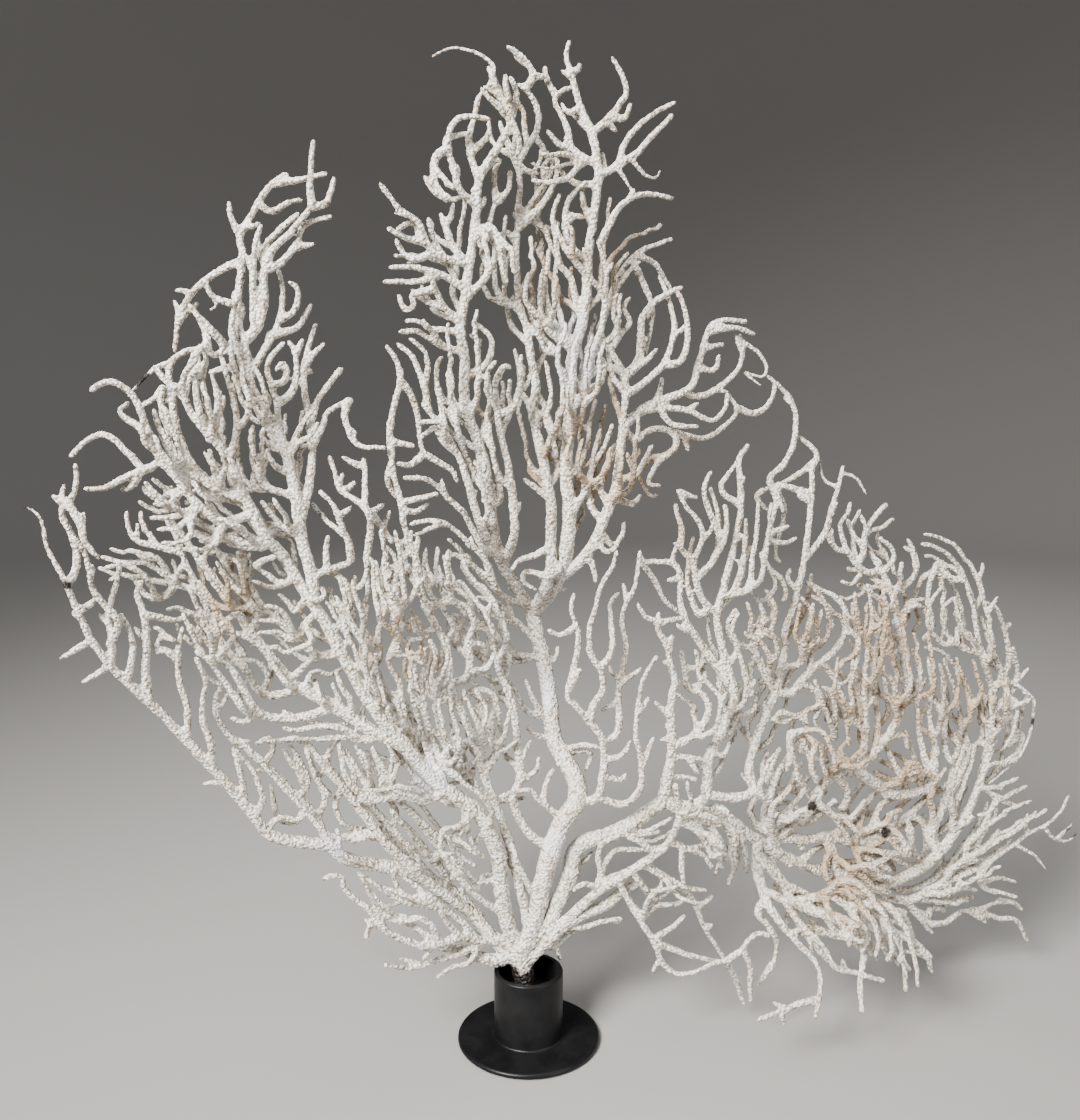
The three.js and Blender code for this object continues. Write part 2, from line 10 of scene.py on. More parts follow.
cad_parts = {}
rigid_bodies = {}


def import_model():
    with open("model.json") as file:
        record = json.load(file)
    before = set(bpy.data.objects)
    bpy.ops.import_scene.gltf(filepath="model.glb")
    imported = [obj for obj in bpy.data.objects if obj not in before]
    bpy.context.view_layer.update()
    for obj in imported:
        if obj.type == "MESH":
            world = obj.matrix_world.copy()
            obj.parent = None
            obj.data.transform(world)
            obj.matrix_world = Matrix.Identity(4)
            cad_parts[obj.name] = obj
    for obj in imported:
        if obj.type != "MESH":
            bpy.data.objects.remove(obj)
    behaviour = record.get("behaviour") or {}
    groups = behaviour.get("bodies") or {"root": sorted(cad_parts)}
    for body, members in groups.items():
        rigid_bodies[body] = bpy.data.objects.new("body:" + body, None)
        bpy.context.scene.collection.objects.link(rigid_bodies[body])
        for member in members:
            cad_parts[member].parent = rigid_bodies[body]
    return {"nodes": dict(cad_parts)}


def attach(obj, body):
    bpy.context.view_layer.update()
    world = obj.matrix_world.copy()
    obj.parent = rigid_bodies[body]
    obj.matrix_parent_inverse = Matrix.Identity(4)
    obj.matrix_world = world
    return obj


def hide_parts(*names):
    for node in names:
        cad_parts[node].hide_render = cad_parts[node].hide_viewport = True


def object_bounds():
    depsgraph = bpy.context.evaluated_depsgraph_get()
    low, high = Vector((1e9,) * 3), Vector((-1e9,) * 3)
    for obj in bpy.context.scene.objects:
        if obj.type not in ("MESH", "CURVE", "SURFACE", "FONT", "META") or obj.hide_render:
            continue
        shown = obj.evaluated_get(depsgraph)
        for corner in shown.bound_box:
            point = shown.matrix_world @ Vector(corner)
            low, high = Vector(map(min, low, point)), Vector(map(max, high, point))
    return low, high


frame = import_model()
cad_low, cad_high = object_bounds()
# A millimetre, in the scene's metres.
MM = 0.001

# The stand, in millimetres.
FOOT_RADIUS = 31.0
FOOT_THICKNESS = 2.4
TUBE_RADIUS = 15.0
TUBE_BORE_RADIUS = 12.8
TUBE_HEIGHT = 32.0

# The fan's sheet and the thickness of its strands, as in the solids.
SHEET_SLANT = 44.0
SHEET_HALF_WIDTH_PX = 520.0
BRANCH_GIRTH = (2.8, 1.9)
TWIG_GIRTH = (2.2, 1.6)
THIN_GIRTH = (1.5, 0.9)
STOUT_GIRTH = (3.6, 2.6)
SHORTEST_SOLID_TWIG_PX = 90.0
# Short strands take a little painted shade by turns, so neighbours differ in tone.
SHADE_STEP = 0.12
SHADE_STEPS = 4

# Strands that cross keep some air between them, except near a fork. Lengths are in millimetres.
CROSSING_AIR = 0.8
FREE_LENGTH = 12.0
FORK_LENGTH = 26.0
TWIN_LENGTH = 8.0
HOLDFAST_PX = (521.0, 944.0)
HOLDFAST_REACH = 30.0
SPREAD_ROUNDS = 60
PUSH_SHARE = 0.3
EASING = 0.12
HOMING = 0.03
TWIG_SWING = 0.05
STRAIGHT_ENOUGH = 1.5
FINE_JOIN_PX = 8.0
NEARER_PX = 0.5

# The front view that the routes are drawn in, in pixels, with its eye in millimetres.
VIEW_SIZE = (1080.0, 1120.0)
VIEW_CENTRE = (540.0, 560.0)
VIEW_FOCAL = 1082.0
VIEW_PITCH = math.radians(8.4)
VIEW_EYE = (5.0, -440.0, 277.0)
FOOT_CENTRE_PX = 529.0
PX_PER_MM = 2.45

LIMBS = {
    "stem": dict(girth=(5.2, 6.2), lean=0,
        route="529,1030 528,1005 525,980 521,958 521,944",
    ),
    "centre_limb": dict(grows_from="stem", girth=(5.6, 4.4), lean=-4,
        route="523,950 533,925 540,895 546,870 553,845 563,821 577,800 574,776 562,755 553,735 550,702 "
              "545,668 538,636 533,612",
        branches=[
            "553,848 534,838 520,820 513,797 520,778 518,750 515,722 511,697 500,672 493,645 487,622 478,605 "
            "463,592 452,575 444,556",
            "577,806 597,797 603,775 604,755 602,738 590,722 576,706 567,696 573,682 580,670",
        ],
        twigs=[
            "545,720 527,711 516,692 508,682 494,680 478,670",
            "541,657 520,655 507,644 499,628",
            "552,812 540,800 530,790 514,792 500,797",
            "545,801 546,784 553,769",
            "550,742 538,736 527,727",
            "602,742 616,735 619,715 618,695 622,672 626,648 622,622 626,604 634,588 638,568 640,552",
            "596,720 593,706 602,690 601,672 592,655 589,632 596,605 603,582 613,566 617,552",
            "566,693 572,672 578,648 577,628 571,610 574,594",
            "603,668 612,650 612,628 610,606 618,594",
            "577,626 561,635 548,630",
            "604,805 622,804 636,795 642,778 640,756 636,735 638,705 644,678 657,657",
            "605,776 620,780 626,775",
            "604,760 622,755 630,742",
            "575,748 590,752 586,770",
            "613,702 602,710",
        ],
    ),
    "mast_left_limb": dict(grows_from="centre_limb", girth=(3.7, 2.4), lean=-9,
        route="533,612 517,588 504,566 496,545 491,515 488,485 480,447 470,420 464,392 465,360 461,326 "
              "466,290 470,262 473,238 477,208 479,182 487,164 500,143 512,124",
        branches=[
            "497,552 484,534 475,508 468,483 460,460 450,440 440,424 430,412 423,404",
            "504,562 514,535 513,500 508,465 501,435 497,405 496,380 504,366",
        ],
        twigs=[
            "528,606 510,600 496,588 490,568 480,553 466,540 452,528 440,521 425,521 411,524",
            "500,560 484,548 473,530 463,512 450,500 438,487 425,479 405,478",
            "446,432 441,405 437,386 437,366 442,357",
            "468,418 456,407 450,390 447,372",
            "482,448 487,418 490,396 489,376",
            "503,415 514,406 520,385 521,356",
            "465,376 480,370 490,357 492,340 484,330 474,322",
            "455,452 442,440 436,428 428,432 420,437",
            "464,332 448,330 428,328 424,320",
            "458,352 442,346 428,338 416,331 400,332",
            "432,407 425,390 419,371 412,356 398,344",
            "466,300 480,285 492,268 496,248 489,232 492,212 498,200",
            "463,263 442,258 427,243 420,225 412,217 400,210 390,197 380,184",
            "443,258 433,238 428,220",
            "466,262 455,250 447,234 441,214",
            "425,246 404,237 388,228",
            "428,262 412,258 400,248 396,240",
            "462,290 448,278 430,271 410,267 390,268",
            "440,276 420,281 385,282",
            "455,322 445,308 437,292 430,276",
            "430,292 414,294 414,306 404,309 399,296",
            "478,180 471,158 469,138 474,119 478,100 487,90",
            "473,205 460,190 454,170 448,148 450,130 459,118 475,117 489,119",
            "448,148 437,156 433,171 438,188 448,199 460,198",
            "445,205 435,192 425,177",
            "476,178 490,165 500,160",
            "475,152 488,135 489,122",
            "512,124 506,107 497,94 485,87",
            "508,112 500,93 492,76 488,67",
            "513,120 517,96 510,77",
            "512,124 520,142 517,156",
            "476,240 486,226 495,232 500,250 503,272 507,282",
        ],
        thin=[
            "501,90 494,70 485,57 470,50 450,48 432,57",
        ],
    ),
    "mast_middle_limb": dict(grows_from="centre_limb", girth=(3.4, 1.9), lean=10,
        route="541,605 549,580 551,545 551,505 545,470 538,440 533,412 536,388 531,358 527,330 520,305 "
              "517,275 516,245 518,215 520,185 517,162",
        twigs=[
            "551,500 538,490 524,479",
            "541,478 533,470 530,460",
            "551,560 560,568 548,575 526,572 524,582 535,589",
            "551,545 536,555 520,560 512,570",
            "548,488 558,468 552,440 546,418 550,400",
            "534,420 545,410 540,396",
            "525,325 538,335 546,352",
            "520,312 505,300 496,288 494,262",
            "516,252 506,262 505,280",
            "518,222 533,204 545,186 553,166 557,154",
            "546,184 543,168 549,158",
            "517,228 530,220 544,229 552,248 560,262",
            "518,160 530,142 537,130 538,112 531,96 519,84",
            "535,136 545,150 551,163",
            "524,90 533,76 528,64 518,54 508,47",
            "533,76 546,76",
            "516,242 506,232 498,240",
        ],
    ),
    "mast_limb": dict(grows_from="centre_limb", girth=(4, 2.3), lean=2,
        route="536,610 556,583 567,545 569,505 566,470 569,430 571,395 572,360 581,328 586,295 588,262 "
              "591,235 596,200 598,170 595,146 591,131",
        twigs=[
            "569,520 580,500 590,478 594,452 600,430",
            "568,480 580,462 588,442 590,418 596,400",
            "571,410 582,395 590,372 594,350 603,322 606,292 605,266 599,244",
            "583,318 575,296 571,278 560,264 556,240 553,214 560,195",
            "588,262 574,250 566,231 566,210 573,194 586,182",
            "566,222 575,216 584,218",
            "591,131 581,108 575,88 570,70 566,54 570,41",
            "572,72 580,68 579,64",
            "592,133 605,122 614,112 622,100 627,92 622,75 613,58",
            "612,117 625,118 631,104",
            "607,121 616,131",
            "588,166 573,150 568,131 560,112 555,101 562,91 576,87",
            "572,151 560,145 548,131",
            "557,98 548,82 545,67",
            "603,176 617,166 622,150 630,135 645,120 660,110 675,102",
            "625,170 635,155 648,140 660,128 672,115",
            "600,240 609,226 618,209 635,197 652,194 672,199",
            "603,182 604,168 602,154",
        ],
        thin=[
            "586,170 572,163 546,168 531,163",
            "633,162 645,175 656,178 660,170",
            "620,172 628,184 635,197",
        ],
    ),
    "mast_right_limb": dict(grows_from="mast_limb", girth=(3.4, 2), lean=16,
        route="558,578 580,562 594,543 606,515 615,488 620,455 622,425 626,395 622,370 606,345 600,330",
        branches=[
            "622,378 637,364 641,340 643,315 655,302 669,293 681,287",
        ],
        twigs=[
            "603,522 592,508 588,490 593,466 604,446 612,425",
            "610,505 600,488 606,465 615,445",
            "619,480 635,475 645,460 652,446",
            "618,500 632,503 641,496",
            "620,512 633,506",
            "600,530 612,545 622,536 624,522",
            "598,538 606,552 618,545",
            "602,328 610,300 618,278 629,261 642,250 658,244 672,239",
            "632,260 643,283 652,305 650,330 645,355",
            "638,258 655,264 665,280 672,292",
            "648,392 663,365 674,330 670,304 660,276",
            "666,369 682,360 688,336 685,310 678,292",
            "626,372 645,362 657,350",
            "612,350 620,335 630,322 624,308 630,298",
            "622,392 612,375 608,352",
            "588,552 594,570 596,582",
        ],
    ),
    "right_arm_limb": dict(grows_from="mast_right_limb", girth=(2.9, 1.8), lean=12,
        route="622,425 645,408 668,398 690,388 698,366 704,345 711,326 725,320 746,322",
        twigs=[
            "703,349 715,346 723,345",
            "702,369 714,370 719,356",
            "713,334 735,328 754,334",
            "684,396 700,397 722,385 737,370 743,352 740,335",
            "744,350 737,336",
            "640,410 665,408 690,412 712,420 725,408 728,393",
            "622,448 635,440 648,431 665,429 685,435 704,438 722,428 737,411 728,395",
            "738,405 752,413 765,408 773,396 775,383",
            "675,432 676,446 664,457 655,467 648,483 660,485",
            "683,438 688,450",
            "660,412 672,424 697,427",
            "655,402 660,390 662,378",
        ],
        thin=[
            "743,340 757,352 767,367 762,377 744,372 760,385",
        ],
    ),
    "left_limb": dict(grows_from="stem", girth=(5, 3.5), lean=2,
        route="516,950 508,925 503,900 500,870 495,845 480,815 458,797 440,785 420,765 405,745 385,722 "
              "365,695 350,668 338,645 325,622 310,600 296,577 282,554",
        branches=[
            "341,652 318,655 300,641 283,624 265,610 252,590 243,570 238,552",
            "450,790 428,800 405,797 382,800 358,800",
        ],
        twigs=[
            "362,692 372,672 380,655 378,632 384,610 380,588 382,566",
            "378,650 365,632 362,612 368,592 366,570",
            "345,660 358,668 362,645 352,622 346,600 340,580",
            "333,634 350,606 340,578 322,572 308,578",
            "340,578 352,590 364,582 368,565",
            "395,735 405,722 402,700 398,680 388,660 396,640 400,620 404,600 406,590",
            "398,640 412,640 422,638",
            "398,655 412,656 427,648",
            "432,778 440,760 432,738 424,715 418,695 408,690",
            "418,764 412,742 404,722 408,705",
            "448,790 440,765 448,745 440,722 436,700 432,680 436,655 430,640",
            "296,578 280,582 265,572 255,566",
            "318,614 306,622 296,640 278,632 258,634",
            "300,585 312,600 324,596 322,588",
            "305,596 295,612 288,602 279,594",
            "475,810 462,826 450,842 462,858 476,866",
            "488,828 470,846 455,842 440,832",
        ],
    ),
    "left_crest_limb": dict(grows_from="left_limb", girth=(3.5, 2), lean=14,
        route="314,606 311,575 303,545 299,520 294,488 288,458 281,438 270,419 258,399 249,380 247,358 "
              "241,335 237,310 240,284 243,255 240,236 251,216 262,196 275,182 287,175",
        branches=[
            "301,524 309,485 312,450 311,425 318,400 328,386 341,369",
            "246,342 258,326 264,300 264,272 272,251 286,237 300,222 312,207",
        ],
        twigs=[
            "313,425 306,402 304,378 307,352 315,325",
            "306,367 315,352 324,344",
            "314,448 323,425 328,412 350,398",
            "350,398 345,415 349,432 360,446 384,448",
            "289,462 295,438 304,421 313,411",
            "282,440 277,408 269,376 269,360 283,343",
            "278,404 292,392 297,372 294,352 289,342",
            "292,356 303,340",
            "252,379 262,355 273,335 281,312 283,290 278,270",
            "281,322 293,312 298,299 296,287 289,282",
            "277,336 296,328 305,315 311,304",
            "312,206 310,186 311,165 313,141",
            "314,208 326,203 331,190 334,178",
            "268,272 282,262 294,247 302,230 313,221 331,217",
            "296,248 313,244",
            "256,330 253,300 253,270 255,245 261,226",
            "238,236 231,217 229,203",
            "260,204 272,212 287,203 301,200",
            "275,186 292,181 326,174",
            "241,262 222,269 204,281 190,296 180,313 177,335 175,351",
            "181,318 197,303",
            "293,497 276,491 261,482 253,462 252,442 253,426",
            "300,537 285,528 272,515 262,502",
            "285,450 272,447 260,434",
            "288,474 276,466 267,450",
            "313,575 328,570 340,566 352,560 350,540",
            "327,568 326,552 328,536",
        ],
        thin=[
            "205,282 212,296 216,306 208,310",
        ],
    ),
    "left_tuft_limb": dict(grows_from="left_limb", girth=(3.3, 2), lean=-14,
        route="284,557 266,538 252,512 242,492 233,470 221,448 206,432 193,415 184,397 184,378 192,364",
        branches=[
            "244,498 222,492 205,480 190,462 180,440 174,412 170,385 171,362 190,350 212,352",
            "250,515 226,522 205,512 188,492 172,472 158,455 148,432 140,408 132,395 119,385 106,382 92,390",
        ],
        twigs=[
            "233,462 237,425 233,400 227,376 220,352",
            "222,452 212,425 206,400 202,380 206,358 202,345",
            "204,432 198,405 195,380 198,356",
            "186,402 178,392 172,400",
            "184,442 168,425 160,402 164,386 154,398 140,406",
            "205,482 186,472 170,452 160,430 154,410",
            "155,450 144,440 143,420",
            "150,432 134,424 120,412 128,403",
            "200,506 186,513 168,517 151,518",
            "182,488 168,505 152,496 142,487",
            "176,478 160,462 146,470 130,455 115,440 101,435 86,441 71,456",
            "150,468 138,472 122,479 105,488 85,489",
            "139,472 132,486 122,490",
            "226,522 212,540 196,535 186,538",
            "192,364 202,346 215,356 226,345",
            "210,440 216,420 218,398 214,380",
            "182,388 170,384 154,366",
        ],
        thin=[
            "172,361 155,369 140,383 128,396",
        ],
    ),
    "left_second_limb": dict(grows_from="left_limb", girth=(3.7, 2), lean=9,
        route="407,748 380,735 352,718 328,703 308,692 290,680 276,662 262,645 248,628 235,608 222,590 "
              "208,572 195,553 183,536 170,520",
        branches=[
            "320,698 298,690 278,695 260,692 250,676 238,660 224,645 213,625 206,605 198,587 188,568 182,552",
            "335,708 318,713 295,718 270,718 255,708 244,690 234,674 222,658 206,641 190,626 184,614",
        ],
        twigs=[
            "184,552 160,547 137,541 128,528 127,512",
            "186,562 178,572 174,582",
            "200,590 178,584 160,571 145,563 122,562 102,557",
            "174,584 167,595 155,599 143,592 135,579 120,575 110,580",
            "237,612 225,622 210,632",
            "262,645 240,634 222,633",
            "290,680 302,668 312,655 305,640",
            "306,690 312,672 330,675 342,668",
            "250,632 258,612 248,600 234,582 226,566 215,548 200,540",
            "225,594 238,580 243,562 230,556 212,553 195,548 186,540",
            "262,692 268,676 258,662 245,660",
            "250,700 236,700 246,680",
            "352,718 350,700 342,688 336,672",
            "372,730 362,716 364,702",
            "207,618 190,613 178,608 168,610",
            "190,626 196,640 205,655",
            "258,710 246,722 232,718",
            "300,716 318,724 338,726 352,722",
            "208,575 204,560 210,548",
        ],
    ),
    "lower_left_limb": dict(grows_from="stem", girth=(4.8, 2), lean=-12,
        route="510,953 490,935 474,915 460,898 440,886 418,875 395,868 368,864 345,858 328,846 305,843 "
              "285,840 268,833 253,814 238,796 222,778 205,760 188,742 170,722 150,703 130,685 "
              "110,665 95,645 82,622 73,600 67,584",
        branches=[
            "150,700 145,670 147,642 143,612 137,594 141,582",
        ],
        twigs=[
            "67,584 76,570 76,550 71,532 62,515 65,503 73,496 76,480 75,464",
            "66,504 53,496",
            "69,503 79,522 84,540 99,558",
            "83,533 82,523 84,514",
            "113,664 112,640 108,617 112,598 118,578 120,563",
            "112,646 118,622 105,606 93,590 89,570 83,550 74,538",
            "128,680 133,655 131,635 120,614",
            "92,640 76,649 62,658",
            "109,666 96,675 83,682",
            "190,738 188,710 180,684 178,656 182,628",
            "213,768 211,742 203,722 203,700 205,682 197,658",
            "158,612 170,620 186,617",
            "254,815 263,800 257,778 247,762 236,750",
            "268,830 280,818 300,819 308,806",
            "182,660 166,650 155,650 162,632 154,627",
            "162,634 174,640",
            "78,610 88,606 96,598",
        ],
        thin=[
            "67,584 60,570 50,553 45,540 42,523 34,511 23,507",
        ],
    ),
    "left_inner_limb": dict(grows_from="lower_left_limb", girth=(3.3, 1.9), lean=6,
        route="440,886 420,866 401,843 383,820 363,800 345,783 328,766 314,752",
        branches=[
            "350,862 332,838 316,816 299,798 281,780 262,763 245,748 228,735 217,715 216,697 221,686 208,677",
            "470,905 448,880 430,858 412,834 392,812",
        ],
        twigs=[
            "352,790 354,772 346,758 341,747",
            "374,808 372,788 364,766 356,746",
            "392,830 396,812 384,790 374,768 366,750",
            "330,770 318,776 322,790 330,796",
            "345,786 336,800 338,815 346,826 364,828",
            "404,845 396,850 384,840 368,838 352,842",
            "320,816 325,800 318,782 314,770",
            "300,798 308,782 300,762 290,745",
            "262,765 272,752 270,738 256,744",
            "306,806 296,822 280,822",
            "326,766 330,750 338,740",
            "314,752 305,742 290,740 268,742",
            "432,862 442,846 436,830",
            "228,736 240,742 250,740",
        ],
    ),
    "left_low_limb": dict(grows_from="lower_left_limb", girth=(3.4, 1.8), lean=-16,
        route="500,946 484,941 462,937 443,942 425,946 405,940 388,932 372,925 366,938",
        twigs=[
            "386,930 372,912 353,898 344,888 343,878 333,875 324,879",
            "374,926 366,920",
            "487,944 462,953 438,960 412,968 385,965",
            "482,946 470,962 452,967 438,977",
            "476,938 455,916 432,908 405,902 385,892 370,880 359,872",
            "450,913 428,895 408,898 397,884 392,870",
            "440,940 432,926 418,918 400,922 384,914 374,900 366,886",
            "460,936 450,926 440,912",
        ],
    ),
    "inner_left_limb": dict(grows_from="centre_limb", girth=(3.2, 1.9), lean=8,
        route="531,930 524,905 518,880 512,852 502,822 492,798 483,772 476,745 467,722 456,702 450,680 "
              "448,655 440,632 428,612 421,590 418,565 410,545 404,522 400,500 395,480 391,455",
        branches=[
            "483,772 496,752 492,725 496,700 486,690 474,690 462,700",
        ],
        twigs=[
            "391,455 390,425 395,402 400,382 397,362 387,346",
            "399,380 412,396 418,416 420,438 424,454",
            "424,454 410,465 398,464",
            "424,455 440,463 452,470 458,482",
            "391,440 402,444 414,446",
            "393,462 388,478 392,492 402,500",
            "403,502 420,498 437,494",
            "405,508 415,512 428,504",
            "408,545 392,540 384,528 390,512",
            "410,548 402,560 396,580 398,600 392,620 396,640",
            "416,556 418,542 418,536",
            "428,612 440,603 445,612",
            "438,628 418,632 412,618",
            "450,684 466,676 470,658 468,640 474,622 466,606 452,600 440,590 436,570 438,548",
            "455,700 444,702 430,696 418,686 414,672 418,655 424,642",
            "472,740 456,745 444,734 440,712 436,698",
            "480,762 466,766 455,778 446,768 442,750",
            "470,642 484,644",
            "496,800 480,796 476,782",
            "500,798 512,800 524,798",
            "474,672 486,668 494,654",
            "516,870 505,862 496,872 484,876",
        ],
    ),
    "right_limb": dict(grows_from="stem", girth=(5.2, 4.2), lean=0,
        route="530,950 546,924 560,898 570,873 574,853 586,842 606,836 628,826 648,812 665,801",
        twigs=[
            "626,828 642,832 658,826 672,818",
            "574,856 582,862 592,852",
        ],
    ),
    "right_under_limb": dict(grows_from="right_limb", girth=(3.6, 2.2), lean=-30,
        route="541,934 558,925 576,912 594,895 612,882 632,870 652,857 668,843 678,822 678,800 675,785",
        twigs=[
            "598,892 602,872 607,860 618,850 642,850 664,846",
            "655,853 640,842 628,838",
            "618,880 626,896 636,914 648,932 657,948 664,965 678,974 696,971 714,963 726,961",
            "640,866 658,872 674,883 689,895 698,913 706,931 717,948 727,962",
            "726,960 736,980 743,1003",
            "726,961 741,951 748,941 758,933 769,936",
            "744,950 750,966 750,985 751,1001",
            "654,940 676,950 700,958 722,962",
            "696,908 706,902 712,896",
            "703,928 712,925",
            "632,872 648,890 660,888 662,878",
            "680,820 694,829 706,842 712,856 724,852",
            "676,845 692,851 704,856 712,868",
            "681,850 682,868 684,884",
            "602,890 584,884 574,890",
            "560,926 580,928 600,922 622,919",
            "552,936 557,948 561,958",
            "640,920 656,906 676,904 688,898",
            "655,938 672,928 684,916",
        ],
    ),
    "right_rise_limb": dict(grows_from="right_limb", girth=(3.6, 2), lean=-6,
        route="662,803 668,776 672,749 671,721 672,696 675,679 669,656 672,637",
        branches=[
            "672,746 690,738 703,725 709,708 702,694 689,688 685,672 682,652",
        ],
        twigs=[
            "669,650 659,632 656,622 645,616 638,604",
            "658,624 672,620 684,618",
            "671,718 661,708 655,702",
            "672,737 661,741",
            "674,758 690,757 702,759",
            "670,778 684,777 697,780",
            "680,680 672,668 664,662",
            "684,668 696,668 706,662",
            "688,764 698,773",
            "692,688 704,680 702,664 706,648",
        ],
    ),
    "right_mid_limb": dict(grows_from="right_limb", girth=(3.4, 2), lean=4,
        route="665,801 686,806 704,799 708,778 709,757 719,738 728,715 734,695 728,668 721,642 717,615 "
              "723,590 730,562 737,532 741,505 740,480 739,460 748,446",
        branches=[
            "733,690 716,665 702,645 688,625 680,600 681,575 672,563 655,562 641,562",
        ],
        twigs=[
            "718,613 704,602 696,582 694,562 703,538 698,521 687,508 678,490",
            "694,562 683,551 675,543",
            "679,548 682,530 677,514 675,504",
            "699,577 713,561 718,542 719,520 714,500 711,488",
            "717,532 708,508 704,489 711,472",
            "739,505 727,497 721,485 728,474 738,462",
            "641,562 639,552",
            "642,565 655,581 665,600 678,612",
            "724,597 742,592 750,580 753,556 757,530 758,503",
            "681,578 668,580",
            "682,490 697,498",
            "729,665 738,650 732,632 738,612",
            "720,740 730,730 738,712 744,698 756,694",
            "710,752 724,755 730,742",
            "708,770 698,765",
        ],
    ),
    "right_core_limb": dict(grows_from="right_mid_limb", girth=(3, 1.9), lean=22,
        route="706,793 724,797 743,796 754,790 749,772 753,750 760,730 768,710 776,692 780,670 785,648 "
              "786,628 794,607 799,585 805,555 809,525 812,495 812,470 818,458 811,446 800,437",
        branches=[
            "776,692 790,694 801,682 818,664 835,650 846,631 845,610 835,597 820,590 806,582",
            "776,692 764,672 756,652 741,645 728,634 729,621 736,610",
        ],
        twigs=[
            "783,668 800,664 807,648 808,625 813,604",
            "816,460 800,473 782,483 764,490",
            "808,560 824,535 831,510 838,489 843,467",
            "812,500 806,500 798,496",
            "764,490 778,485 777,500 771,522 767,543 764,557 772,573 776,586 768,598 756,602",
            "760,492 770,479 784,463 793,445 796,421 792,401 780,387 768,376",
            "768,541 784,543 796,538",
            "771,535 788,526",
            "762,490 757,498 768,510",
            "768,600 776,612 765,622 768,635 780,640",
            "755,655 748,672 752,690",
            "800,683 814,690 822,704 815,720 824,735 836,738",
            "822,662 834,678 843,698 846,718 849,745",
            "846,628 858,640 856,662 848,680 838,684",
            "797,590 788,580 790,570",
            "754,788 768,800 774,782 782,765 790,752",
            "776,742 790,732 803,740 810,760 816,782",
            "765,718 782,722 796,718",
        ],
        thin=[
            "837,487 826,481 821,471 820,459",
            "845,474 856,478 866,495",
        ],
    ),
    "right_sweep_limb": dict(grows_from="right_limb", girth=(4.2, 2.4), lean=6,
        route="665,801 690,811 712,816 732,823 752,838 772,850 798,862 822,873 848,880 872,888",
        branches=[
            "752,838 768,845 785,838 805,840 828,836 852,842 876,836 896,826 912,812 928,797 946,786 962,770",
            "826,838 834,858 838,874 850,886 866,900 886,908 905,912",
        ],
        twigs=[
            "700,814 712,828 722,845 726,860",
            "735,825 742,842 746,860 747,872",
            "853,842 866,858 880,868 886,880",
            "860,840 884,852 905,852 912,838 908,820",
            "830,836 846,826 856,812 866,800",
            "778,836 768,822 780,815 796,824",
            "800,862 812,852 822,846",
            "910,815 924,824 926,845 918,862",
            "850,842 872,826 880,806 896,797",
            "705,812 716,806 728,812",
        ],
    ),
    "right_outer_limb": dict(grows_from="right_sweep_limb", girth=(3.3, 1.9), lean=16,
        route="768,843 784,832 799,822 813,805 823,786 837,773 855,771 870,757 884,741 898,718 906,692 "
              "906,668 901,640 896,612 890,588 880,568 868,548 864,535 872,520 886,505",
        branches=[
            "858,772 876,784 896,795 916,793 934,783 926,762 920,735 917,705 919,675 912,650",
        ],
        twigs=[
            "882,570 866,572 855,562 845,545 840,525 847,514 850,503",
            "857,565 864,550 854,535 848,520",
            "884,572 893,560 892,549 880,538",
            "898,593 911,580 916,568 912,553 904,547",
            "916,568 914,552 908,540",
            "892,592 876,580 864,572 852,584 842,582",
            "897,612 880,600 868,590",
            "902,640 888,632 874,612 870,598",
            "903,645 892,656 880,642 874,628",
            "906,690 890,700 884,672 880,652",
            "899,618 915,606 926,612 930,628",
            "836,775 848,792 842,808 832,800",
            "816,802 806,790 800,776",
            "885,742 902,735 908,748",
        ],
    ),
    "right_rim_limb": dict(grows_from="right_sweep_limb", girth=(2.8, 1.7), lean=4,
        route="872,888 898,880 922,868 942,850 957,828 970,806 980,782 989,755 996,728 995,702 988,675 "
              "980,650 976,622 972,598 962,573 948,555 932,546 922,544",
        branches=[
            "940,852 930,835 940,812 948,795 960,775 968,750 964,728 972,706 966,684 956,668 942,652 925,648",
        ],
        twigs=[
            "996,712 1003,700 1013,690 1017,672 1013,648",
            "998,690 1007,668 1008,648 1003,626 997,609 986,602",
            "1004,628 1011,624",
            "982,655 996,668 1003,675",
            "984,664 990,645 986,622",
            "977,655 960,647 947,634 942,614 947,603 956,597",
            "966,580 950,578 938,562 930,582 928,602 933,625 922,640",
            "1000,705 1012,720 1016,738 1004,748 990,752",
            "980,785 1000,798 1012,793 1026,786",
            "998,797 989,812 978,815",
            "964,726 950,715 944,695 942,676",
            "970,750 982,738 978,715",
        ],
        thin=[
            "1015,680 1030,695 1034,712 1029,736 1020,756 1004,771 989,784",
        ],
    ),
    "right_tail_limb": dict(grows_from="right_sweep_limb", girth=(2.4, 1.2), lean=-8,
        route="872,888 890,898 912,900 932,888 962,875 988,862 1010,847 1028,834 1045,825 1060,812 1069,796",
        twigs=[
            "990,862 980,876 985,888 1002,893 1017,897",
            "918,902 940,898 960,888 976,890",
            "1000,897 1014,903 1022,910",
            "905,905 925,922 945,922 962,911 982,908 998,901",
            "975,909 998,918 1014,919 1022,930 1027,940",
            "968,910 986,922",
        ],
        thin=[
            "1044,827 1053,838 1066,841 1078,832",
            "1016,846 1034,855 1045,869",
            "1058,836 1072,824",
        ],
    ),
    "right_low_limb": dict(grows_from="right_sweep_limb", girth=(2.7, 1.5), lean=-50, side_lean=-42,
        route="756,842 757,866 761,886 769,906 783,926 801,946 815,961 820,978 819,998 815,1019",
        branches=[
            "785,856 785,885 791,906 800,925 812,942 826,957 838,969 858,973 883,981",
            "788,895 808,910 828,915 846,926 858,940 864,955 860,980 862,1011",
        ],
        twigs=[
            "818,999 800,1003 780,1012 758,1019",
            "781,1012 784,1024",
            "766,900 758,912 768,926 776,940 776,955 772,968",
            "785,966 757,984",
            "806,880 826,896 846,906 858,922 868,936 862,952",
            "872,888 880,906 890,926 900,946 904,966 906,990",
